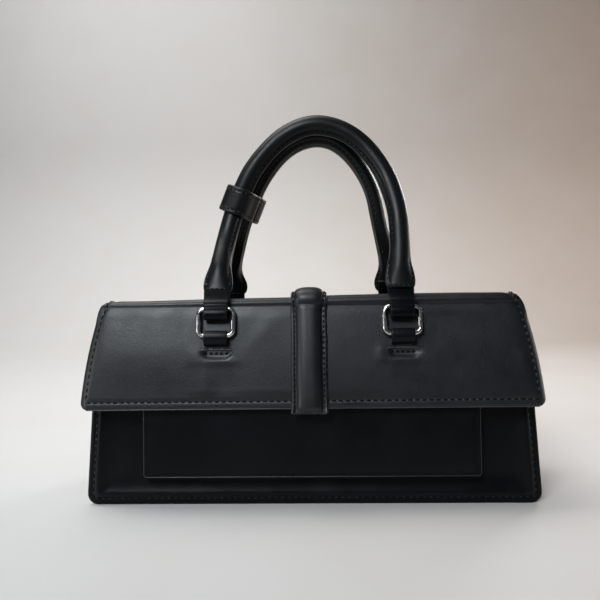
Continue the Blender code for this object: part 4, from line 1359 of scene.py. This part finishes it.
def tab(name, across, row, body, node):
    """The strap from a handle's end round the ring's upper bar, stiff enough to stand off it below."""
    upper = bars(row)[1]
    # In side view the strap follows the handle's foot, which leans inwards
    foot_way = KNOTS[row][1] - KNOTS[row][0]
    up = Vector((foot_way.y, foot_way.z)).normalized()
    out = Vector((-up.y, up.x)) if row == "front" else Vector((up.y, -up.x))
    wall, top = TAB_WALL, TAB_TOP
    hang, tall, wide, inner = TAB_LOOPS[row]
    points = [(wall, top), (wall * 1.02, 9.0 * MM), (wall * 1.35, 5.0 * MM), (wall * 1.85, 2.6 * MM)]
    for k in range(17):
        angle = math.radians(35 - 200 * k / 16)
        points.append((0.1 * MM + wide * math.cos(angle), tall * math.sin(angle) - hang))
    points += [(-wall * inner, 3.0 * MM), (-wall, 6.0 * MM), (-wall, 10.0 * MM), (-wall, top)]

    def half(z):
        return (7.0 + 0.9 * ramp(z - upper.y, 0, 12)) * MM

    extruded(name, side_outline(upper, out, up, points), across, half, SHADED_TAB_LEATHER, body, node, 0.25 * MM)


def chape(name, across, row, body, node):
    """The strap round the ring's lower bar, whose end goes through a slit and is tacked behind it."""
    lower, _, rise = bars(row)
    normal = Vector((-rise.y, rise.x)) if row == "front" else Vector((rise.y, -rise.x))
    reach = RING_WIRE_RADIUS + SEAT_GAP + 1.6 * MM
    top = RING_WIRE_RADIUS + SEAT_GAP + 0.8 * MM
    points = [(-reach + 0.1 * MM, -6.4 * MM), (-reach + 0.1 * MM, 0.0)]
    for k in range(15):
        angle = math.pi - math.pi * k / 14
        points.append((reach * math.cos(angle), top * math.sin(angle)))
    points += [
        (reach + 0.1 * MM, -1.5 * MM), (reach - 0.2 * MM, -3.2 * MM),
        (reach * 0.45, -5.2 * MM), (-reach * 0.2, -6.2 * MM),
    ]
    outline = side_outline(lower, normal, rise, points)
    extruded(name, outline, across, lambda z: 6.8 * MM, STRAP_LEATHER, body, node, 0.15 * MM)

    def over(x, drop, lift):
        """A place on the face that carries the chape, at a drop below the ring's lower bar."""
        if row == "front":
            return on_flap_face(x, np.full(len(x), CHAPE_BAR_LENGTH - drop), lift)
        z = np.full(len(x), lower.y - drop)
        return on_margin(x, z, margin_relief(x, z, np.full(len(x), 0.02)) + lift)

    run = line_on(over, across + np.linspace(-7.6, 7.6, 24) * MM, TACK_DROP, 0.0)
    stitches(
        name.replace("leather", "tack"), [run], body,
        pitch=2.9 * MM, radius=0.75 * MM, pucker_highlights=False,
    )
    sections = []
    for share in np.linspace(-1, 1, 31):
        spot = np.array([across + share * 9.0 * MM])
        size = 0.72 * MM * math.sqrt(max(0.03, 1 - share ** 4))
        drop = TACK_DROP - 2.35 * MM + 0.5 * MM * abs(share) ** 3
        lift = 0.25 * MM + 0.12 * MM * math.sin(share * 17)
        sections.append([over(spot, drop - 0.8 * size * s, lift + size * c)[0] for c, s in circle(8)])
    loft(name.replace("leather", "slit"), sections, EDGE_PAINT_AND_HIGHLIGHT, body)


# Handles

def smooth_curve(points, per_span):
    """A Catmull-Rom curve through the points after the first and before the last."""
    curve = []
    for i in range(1, len(points) - 2):
        a, b, c, d = points[i - 1:i + 3]
        for k in range(per_span):
            t = k / per_span
            square = (a * 2 - b * 5 + c * 4 - d) * (t * t / 2)
            cube = (b * 3 - a - c * 3 + d) * (t ** 3 / 2)
            curve.append(b + (c - a) * (t / 2) + square + cube)
    curve.append(points[-2].copy())
    return curve


def handle_knots(row):
    """The few points that a handle's centre line goes through, from its left end to its right end."""
    bar, apex = bars(row)[1], APEX_DEPTH[row]
    arch = [
        Vector((RING_HALF_SPREAD * across, apex + (bar.x - apex) * depth, bar.y + HANDLE_RISE[row] * up))
        for across, depth, up in ROUTE_SHARES[row]
    ]
    legs = []
    for side, near in ((-1, arch[0]), (1, arch[-1])):
        end = Vector((side * RING_HALF_SPREAD, bar.x, bar.y))
        way = (near - end).normalized()
        legs.append([end, end + way * BELL_START[row], end + way * BELL_STRAIGHT])
    return legs[0] + arch[1:-1] + legs[1][::-1]


KNOTS = {row: handle_knots(row) for row in ("front", "rear")}


def curve_frames(points):
    """Way, outward and front direction at each point of a handle's centre line."""
    centre = points.mean(axis=0)
    ways = unit(np.gradient(points, axis=0))
    outward = points - centre
    outward[:, 1] = 0
    steep = np.abs(ways[:, 2]) / (np.abs(ways[:, 0]) + np.abs(ways[:, 2]))
    side = np.sign(points[:, 0] - centre[0])
    level = np.stack([side, np.zeros(len(side)), np.zeros(len(side))], axis=1)
    mix = np.clip((steep - 0.45) / 0.3, 0, 1)[:, None]
    outward = unit(outward) * (1 - mix) + level * mix
    outward = unit(outward - ways * np.sum(outward * ways, axis=1)[:, None])
    return ways, outward, np.cross(ways, outward)


# The handle's section by distance from its sewn end, all in mm
BELL_HALF_WIDTH = ((0, 0.8, 2, 4.5, 8, 12, 16, 20, 26), (7.3, 8.1, 8.6, 8.9, 8.7, 8.0, 7.1, 6.5, 6.2))
BELL_HALF_DEPTH = ((0, 0.5, 1.5, 3, 5, 8, 12, 17, 25), (1.9, 2.35, 2.65, 2.95, 3.4, 4.1, 5.0, 5.8, 6.2))
BELL_FIN = ((0, 0.5, 1.5, 4, 12), (0.7, 1.2, 1.5, 1.3, 1.0))
BELL_WING = ((0, 4, 10, 20, 26), (1.4, 1.8, 1.7, 0.8, 0.0))


def bell_section(near, fuller):
    """(outward, front) pairs of the handle's section at a distance from its sewn end.

    The round tube turns into a lens with thin stitched wings, wider by the share that fuller gives.
    """
    d = near / MM
    tables = (BELL_HALF_WIDTH, BELL_HALF_DEPTH, BELL_FIN, BELL_WING)
    full, deep, fin, wing = (MM * float(np.interp(d, *table)) for table in tables)
    full *= 1 + fuller * math.exp(-((d - 7) / 9) ** 2)
    inner = full - wing
    share = eased(min(1.0, max(0.0, (24 - d) / 14)))
    points = []
    for c, s in circle(HANDLE_SIDES):
        u = full * c
        tube = deep * abs(s)
        rim = fin * (1 - (u / full) ** 8) ** 0.5
        lens = rim + (deep - fin) * max(0.0, 1 - (u / inner) ** 2) ** 0.75
        lens -= 0.30 * MM * bump(abs(u) - inner, -0.1, 0.5)
        points.append((u, math.copysign(tube + (max(lens, 0.2 * rim) - tube) * share, s)))
    return points


def softened(points, reach, keep):
    """The same line with its bends evened out, apart from a length kept at both ends."""
    lengths = travelled(points)
    total = lengths[-1]
    count = int(total / MM)
    even_line = along(points, lengths, np.linspace(0, total, count + 1))
    offsets = np.arange(-30, 31)
    weights = np.exp(-(offsets * MM / reach) ** 2 / 2)
    weights /= weights.sum()
    smooth = even_line.copy()
    for i in range(count + 1):
        near = min(i, count - i) * total / count
        share = min(1.0, max(0.0, (near - keep) / keep))
        if share:
            index = np.clip(i + offsets, 0, count)
            mean = (even_line[index] * weights[:, None]).sum(axis=0)
            smooth[i] = even_line[i] * (1 - share) + mean * share
    return smooth


def handle(row, seam_angle, squeeze, fuller):
    """A rolled handle: soft oval tube with a raised seam, flattened and winged at both sewn ends.

    squeeze is how much narrower its right leg is on the outer side, where the two handles crowd.
    """
    name, body = f"{row}_handle", f"{row}_handle_body"
    curve = softened(np.array([tuple(p) for p in smooth_curve(KNOTS[row], 14)]), 7 * MM, 26 * MM)
    lengths = travelled(curve)
    total = lengths[-1]
    bell = np.linspace(0.4 * MM, BELL_LENGTH, 30)
    middle = np.linspace(BELL_LENGTH + 1.5 * MM, total - BELL_LENGTH - 1.5 * MM, 150)
    marks = np.concatenate([[0.0], bell, middle, total - bell[::-1], [total]])
    nears = np.minimum(marks, total - marks)
    points = along(curve, lengths, marks)
    ways, outward, front = curve_frames(points)
    sections, filler = [], []
    for k, (mark, near) in enumerate(zip(marks, nears)):
        away = ramp(near, 20, 12)
        pinch = squeeze * math.exp(-((mark / total - PINCH_PLACE) / PINCH_REACH) ** 4)
        points[k] -= outward[k] * (PINCH_SHIFT * pinch)
        swell = 0.016 * math.sin(mark * 95 + 1.3) * away
        section = []
        for u, v in bell_section(near, fuller):
            angle = math.degrees(math.atan2(v, u)) % 360
            ridge = 0.50 * math.exp(-((angle - seam_angle) / 8) ** 2)
            ridge -= 0.42 * math.exp(-((angle - seam_angle + 17) / 7) ** 2)
            ridge -= 0.22 * math.exp(-((angle - seam_angle - 15) / 6) ** 2)
            uneven = 0.010 * away * math.sin(mark * 230 + angle / 40)
            grow = 1 + swell + uneven + ridge * MM * away / HANDLE_RADIUS
            side = u * grow * (1 - pinch if u > 0 else 1 - 0.15 * pinch)
            section.append(points[k] + outward[k] * side + front[k] * (v * grow))
        sections.append(section)
        if near > 14 * MM:
            filler.append([points[k] + (p - points[k]) * 0.66 for p in section])
    piece = loft(f"{name}_leather", sections, HANDLE_LEATHER, body, (name,))
    loft(f"{name}_cord", filler, FELT, body, (f"{name}_core",))
    # Stitches beside the seam, and round the foot and wings of each bell
    keep = np.flatnonzero(nears > BELL_LENGTH + 2 * MM)
    turn = math.radians(seam_angle - 17)
    normals = outward[keep] * math.cos(turn) + front[keep] * math.sin(turn)
    line = points[keep] + normals * (HANDLE_RADIUS - 0.36 * MM)
    stitches(f"{name}_seam", [(line, normals)], body, pitch=3.4 * MM, radius=0.30 * MM)

    def spot(k, across):
        """A place on the bell's front face, at a distance across from its middle."""
        u, v = np.array(bell_section(nears[k], fuller)[:HANDLE_SIDES // 2 + 1][::-1]).T
        return points[k] + outward[k] * across + front[k] * (float(np.interp(across, u, v)) + 0.05 * MM)

    runs = []
    sewn = (1.2 * MM < nears) & (nears < BELL_SEAM)
    for end in (marks < total / 2, marks > total / 2):
        stations = np.flatnonzero(sewn & end)
        for side in (-1, 1):
            line = [spot(k, side * (bell_section(nears[k], fuller)[0][0] - 1.2 * MM)) for k in stations]
            runs.append((line, front[stations]))
        k = stations[np.argmin(nears[stations])]
        line = [spot(k, across) for across in np.linspace(-7.0, 7.0, 21) * MM]
        runs.append((line, [front[k]] * len(line)))
    stitches(f"{name}_bell_stitches", runs, body, pitch=3.2 * MM, radius=0.30 * MM)
    return points, ways


# Keeper

def keeper(front_points, front_ways, rear_points):
    """A folded strap round the left legs of both handles, whose front half laps over its rear half."""
    height = bars("front")[1].y + HANDLE_RISE["front"] * KEEPER_SHARE
    index = np.argmax(front_points[:, 2] > height)
    front, way = front_points[index], front_ways[index]
    near = np.argmin(np.abs((rear_points[:len(rear_points) // 2] - front) @ way))
    rear = rear_points[near]
    way = unit(way + unit(rear_points[near + 1] - rear_points[near - 1]))
    toward = rear - front
    toward -= way * np.dot(toward, way)
    span = float(np.linalg.norm(toward))
    toward /= span
    reach = span / 2
    keeper_half("front", front, toward, way, reach + 1.6 * MM, 0.45 * MM)
    keeper_half("rear", front + toward * span, -toward, way, reach + 0.4 * MM, -1.30 * MM)


def keeper_half(row, middle, toward, way, reach, lap):
    """One bent half. Its two ends step out by lap, or in where lap is negative."""
    name, body = f"keeper_{row}", f"{row}_handle_body"
    wall, radius = KEEPER_WALL, KEEPER_RADIUS
    across = np.cross(way, toward)
    shares = (1.0, 0.85, 0.7, 0.55, 0.4, 0.2)
    steps_out = [lap * min(1.0, max(0.0, (share - 0.4) / 0.3)) for share in shares]
    path = [across * (radius + step) + toward * reach * share for share, step in zip(shares, steps_out)]
    for angle in np.linspace(0, math.pi, 37):
        c, s = math.cos(angle), math.sin(angle)
        # Squarer than a circle: the strap bends most at its two front corners
        flat = (abs(c) ** 2.7 + abs(s) ** 2.7) ** (-1 / 2.7)
        path.append((across * c - toward * s) * (radius * flat))
    ends = list(zip(shares, steps_out))[::-1]
    path += [-across * (radius + step) + toward * reach * share for share, step in ends]
    path = np.array(path)
    out = unit(np.cross(np.gradient(path, axis=0), way))
    if np.sum(out * path) < 0:
        out = -out
    # The strap's section: its rounded outer face with two sewn grooves, then its flat underside
    half, rounding, seam = KEEPER_HEIGHT / 2, 0.8 * MM, 2.2 * MM
    heights = [half * (-1 + 2 * k / 32) for k in range(33)]
    profile = []
    for v in heights:
        from_edge = half - abs(v)
        end = min(1.0, max(0.0, 1 - from_edge / rounding))
        groove = 0.30 * MM * bump(from_edge - seam, 0, 0.55)
        profile.append((v, wall - rounding * (1 - math.sqrt(1 - end ** 2)) - groove))
    profile += [(v, 0.0 if abs(v) < half else 0.3 * MM) for v in reversed(heights)]
    sections = [[middle + spot + way * a + away * b for a, b in profile] for spot, away in zip(path, out)]
    loft(f"{name}_leather", sections, HANDLE_LEATHER, body, (name,))
    runs = []
    for side in (-1, 1):
        line = middle + path + way * (side * (half - seam)) + out * (wall - 0.10 * MM)
        runs.append((line[1:-1], out[1:-1]))
    stitches(f"{name}_stitches", runs, body, pitch=3.0 * MM, radius=0.36 * MM)


# Snap

def turned(name, centre, axis, outline, body, node):
    """A disc turned from (distance, radius) points about an axis in side view."""
    up = Vector((0, -axis.y, axis.x))
    sections = []
    for distance, radius in outline:
        middle = Vector((0, *(centre + axis * distance)))
        sections.append([middle + Vector((c * radius, 0, 0)) + up * (s * radius) for c, s in circle(48)])
    loft(name, sections, NICKEL, body, (node,))


def box_height(node):
    """The middle height of a node's box."""
    low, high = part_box(node)
    return (low.z + high.z) / 2


def snap():
    """A magnetic snap: its socket on the front panel and its stud under the flap."""
    height = box_height("snap_socket")
    axis = Vector((-math.cos(PANEL_LEAN), math.sin(PANEL_LEAN)))
    deep = -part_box("snap_socket")[0].y - half_depth(height) + 0.1 * MM
    seat = Vector((-half_depth(height), height)) + axis * 0.1 * MM
    rim, bore = 7.0 * MM, 4.0 * MM
    turned("snap_socket_disc", seat, axis, (
        (0, bore), (0.1 * MM, rim - 0.3 * MM), (0.5 * MM, rim), (0.6 * deep, rim - 0.2 * MM),
        (0.9 * deep, rim - 1.0 * MM), (deep, rim - 1.8 * MM), (deep, bore + 0.3 * MM), (0.9 * deep, bore),
        (0.3 * deep, bore - 0.1 * MM),
    ), "root", "snap_socket")
    height = box_height("snap_stud")
    axis = Vector((math.cos(FLAP_LEAN), -math.sin(FLAP_LEAN)))
    face = Vector((FLAP_CREST_DEPTH - (FLAP_TOP - height) * FLAP_SLOPE, height))
    seat = face + axis * (FLAP_WALL + FLAP_LINING_WALL + 3 * SEAT_GAP)
    plate, nose = 1.2 * MM, 2.0 * MM
    turned("snap_stud_disc", seat, axis, (
        (0, rim - 0.2 * MM), (0.3 * MM, rim), (0.8 * MM, rim - 0.2 * MM), (plate, rim - 1.2 * MM),
        (plate, nose + 0.6 * MM), (plate + 0.4 * MM, nose), (plate + 1.7 * MM, nose),
        (plate + 2.1 * MM, nose - 0.5 * MM),
    ), "flap_body", "snap_stud")


# Stage, light and camera

STAGE_FRONT, STAGE_WALL, STAGE_BEND, STAGE_HEIGHT, STAGE_HALF_WIDTH = -3.0, 1.30, 0.50, 3.2, 3.6
# Name, place, target, width and height, power, colour and spread in degrees
LIGHTS = (
    ("key_light", (-0.50, -1.15, 1.05), (0, 0, 0.1), 0.60, 0.50, 2.15, (0.88, 0.95, 1.0), 55),
    ("left_light", (-1.20, -0.60, 0.22), (0, 0, 0.1), 0.45, 0.45, 0.45, (0.95, 1.0, 0.98), 60),
    ("top_light", (-0.25, 0.28, 1.3), (0.0, 0.12, 0.0), 0.9, 0.9, 1.50, (1.0, 0.99, 0.97), 75),
    ("wall_light", (-0.70, 0.45, 1.6), (-0.12, 1.15, 0.22), 1.2, 1.2, 12.3, (0.99, 0.99, 0.98), 105),
    ("warm_light", (1.9, 0.80, 0.9), (0.35, 1.3, 0.25), 0.9, 0.9, 3.4, (1.0, 0.86, 0.74), 75),
    ("back_light", (0.75, 1.05, 0.55), (0.0, 0.03, 0.08), 0.5, 0.5, 0.75, (0.97, 0.98, 1.0), 55),
    ("right_light", (1.00, 0.22, 0.18), (0.1, -0.03, 0.09), 0.30, 0.30, 0.22, (0.93, 0.96, 1.0), 60),
)
SKY_COLOUR, SKY_STRENGTH = (0.82, 0.88, 1.0, 1), 0.10


def stage_sweep():
    """A pale floor that turns up into a wall behind."""
    line = [(STAGE_FRONT, 0.0), (STAGE_WALL - STAGE_BEND, 0.0)]
    for k in range(1, 13):
        turn = math.pi / 2 * k / 12
        line.append((STAGE_WALL - STAGE_BEND * (1 - math.sin(turn)), STAGE_BEND * (1 - math.cos(turn))))
    line.append((STAGE_WALL, STAGE_HEIGHT))
    points = [(x, y, z) for y, z in line for x in (-STAGE_HALF_WIDTH, STAGE_HALF_WIDTH)]
    faces = [(2 * k, 2 * k + 1, 2 * k + 3, 2 * k + 2) for k in range(len(line) - 1)]
    mesh = bpy.data.meshes.new("stage_sweep")
    mesh.from_pydata(points, [], faces)
    mesh.shade_smooth()
    # The stage paint darkens to the warmer second colour on the right: painted shade.
    mesh.materials.append(stage_with_painted_shade("stage_painted_shade_finish", (0.575, 0.565, 0.555), (0.44, 0.37, 0.325), 0.75))
    new_object("stage_sweep", mesh)


def lights():
    world = bpy.data.worlds.new("studio")
    world.use_nodes = True
    fill(world.node_tree, world.node_tree.nodes["Background"], Color=SKY_COLOUR, Strength=SKY_STRENGTH)
    bpy.context.scene.world = world
    bpy.context.scene.view_settings.view_transform = "Standard"
    for name, place, target, width, height, power, colour, spread in LIGHTS:
        data = bpy.data.lights.new(name, "AREA")
        data.shape = "RECTANGLE"
        data.size, data.size_y = width, height
        data.energy = power
        data.color = colour
        data.spread = math.radians(spread)
        obj = new_object(name, data)
        obj.location = place
        obj.rotation_mode = "QUATERNION"
        obj.rotation_quaternion = (Vector(target) - Vector(place)).to_track_quat("-Z", "Y")
        obj.visible_camera = False


def camera():
    """The photograph's camera, from its place, its turns and its lens."""
    level_way = Vector((math.sin(CAMERA_YAW), math.cos(CAMERA_YAW), 0))
    ahead = level_way * math.cos(CAMERA_PITCH) + Vector((0, 0, math.sin(CAMERA_PITCH)))
    level = Vector((math.cos(CAMERA_YAW), -math.sin(CAMERA_YAW), 0))
    right = level * math.cos(CAMERA_ROLL) + level.cross(ahead) * math.sin(CAMERA_ROLL)
    up = right.cross(ahead)
    data = bpy.data.cameras.new("camera")
    data.lens = CAMERA_LENS
    data.sensor_width = CAMERA_SENSOR
    data.clip_start = 0.01
    data.clip_end = 20.0
    obj = new_object("camera", data)
    turn = Matrix((right, up, -ahead)).transposed().to_4x4()
    obj.matrix_world = Matrix.Translation(CAMERA_PLACE) @ turn
    bpy.context.scene.camera = obj


def stiffener():
    """The base's hidden stiffener keeps the frame's own mesh and gets its finish."""
    obj = frame["nodes"]["base_board"]
    obj.data.materials.clear()
    obj.data.materials.append(BOARD)


def build():
    camera()
    stage_sweep()
    lights()
    body_panel("front_panel_leather", -1, "front_panel", BODY_HEIGHT)
    body_panel("back_panel_leather", 1, "back_panel", BODY_HEIGHT - 1.4 * MM)
    body_seams()
    gusset("left_gusset_leather", -1, "left_gusset")
    gusset("right_gusset_leather", 1, "right_gusset")
    base()
    lining()
    pocket()
    flap_cover()
    flap_seams()
    flap_edge()
    flap_lining()
    rear_margin()
    hinge_strip()
    centre_strap()
    snap()
    for side_name, side in (("left", -1), ("right", 1)):
        across = side * RING_HALF_SPREAD
        for row, chape_body in (("front", "flap_body"), ("rear", "root")):
            kinds = ("ring", "chape", "tab")
            ring_node, chape_node, tab_node = (f"{row}_{kind}_{side_name}" for kind in kinds)
            ring(f"{ring_node}_wire", across, row, f"{ring_node}_body", ring_node)
            chape(f"{chape_node}_leather", across, row, chape_body, chape_node)
            tab(f"{tab_node}_leather", across, row, f"{row}_handle_body", tab_node)
    front_points, front_ways = handle("front", seam_angle=160, squeeze=0.0, fuller=0.0)
    rear_points, _ = handle("rear", seam_angle=132, squeeze=0.33, fuller=0.16)
    keeper(front_points, front_ways, rear_points)
    stiffener()


build()
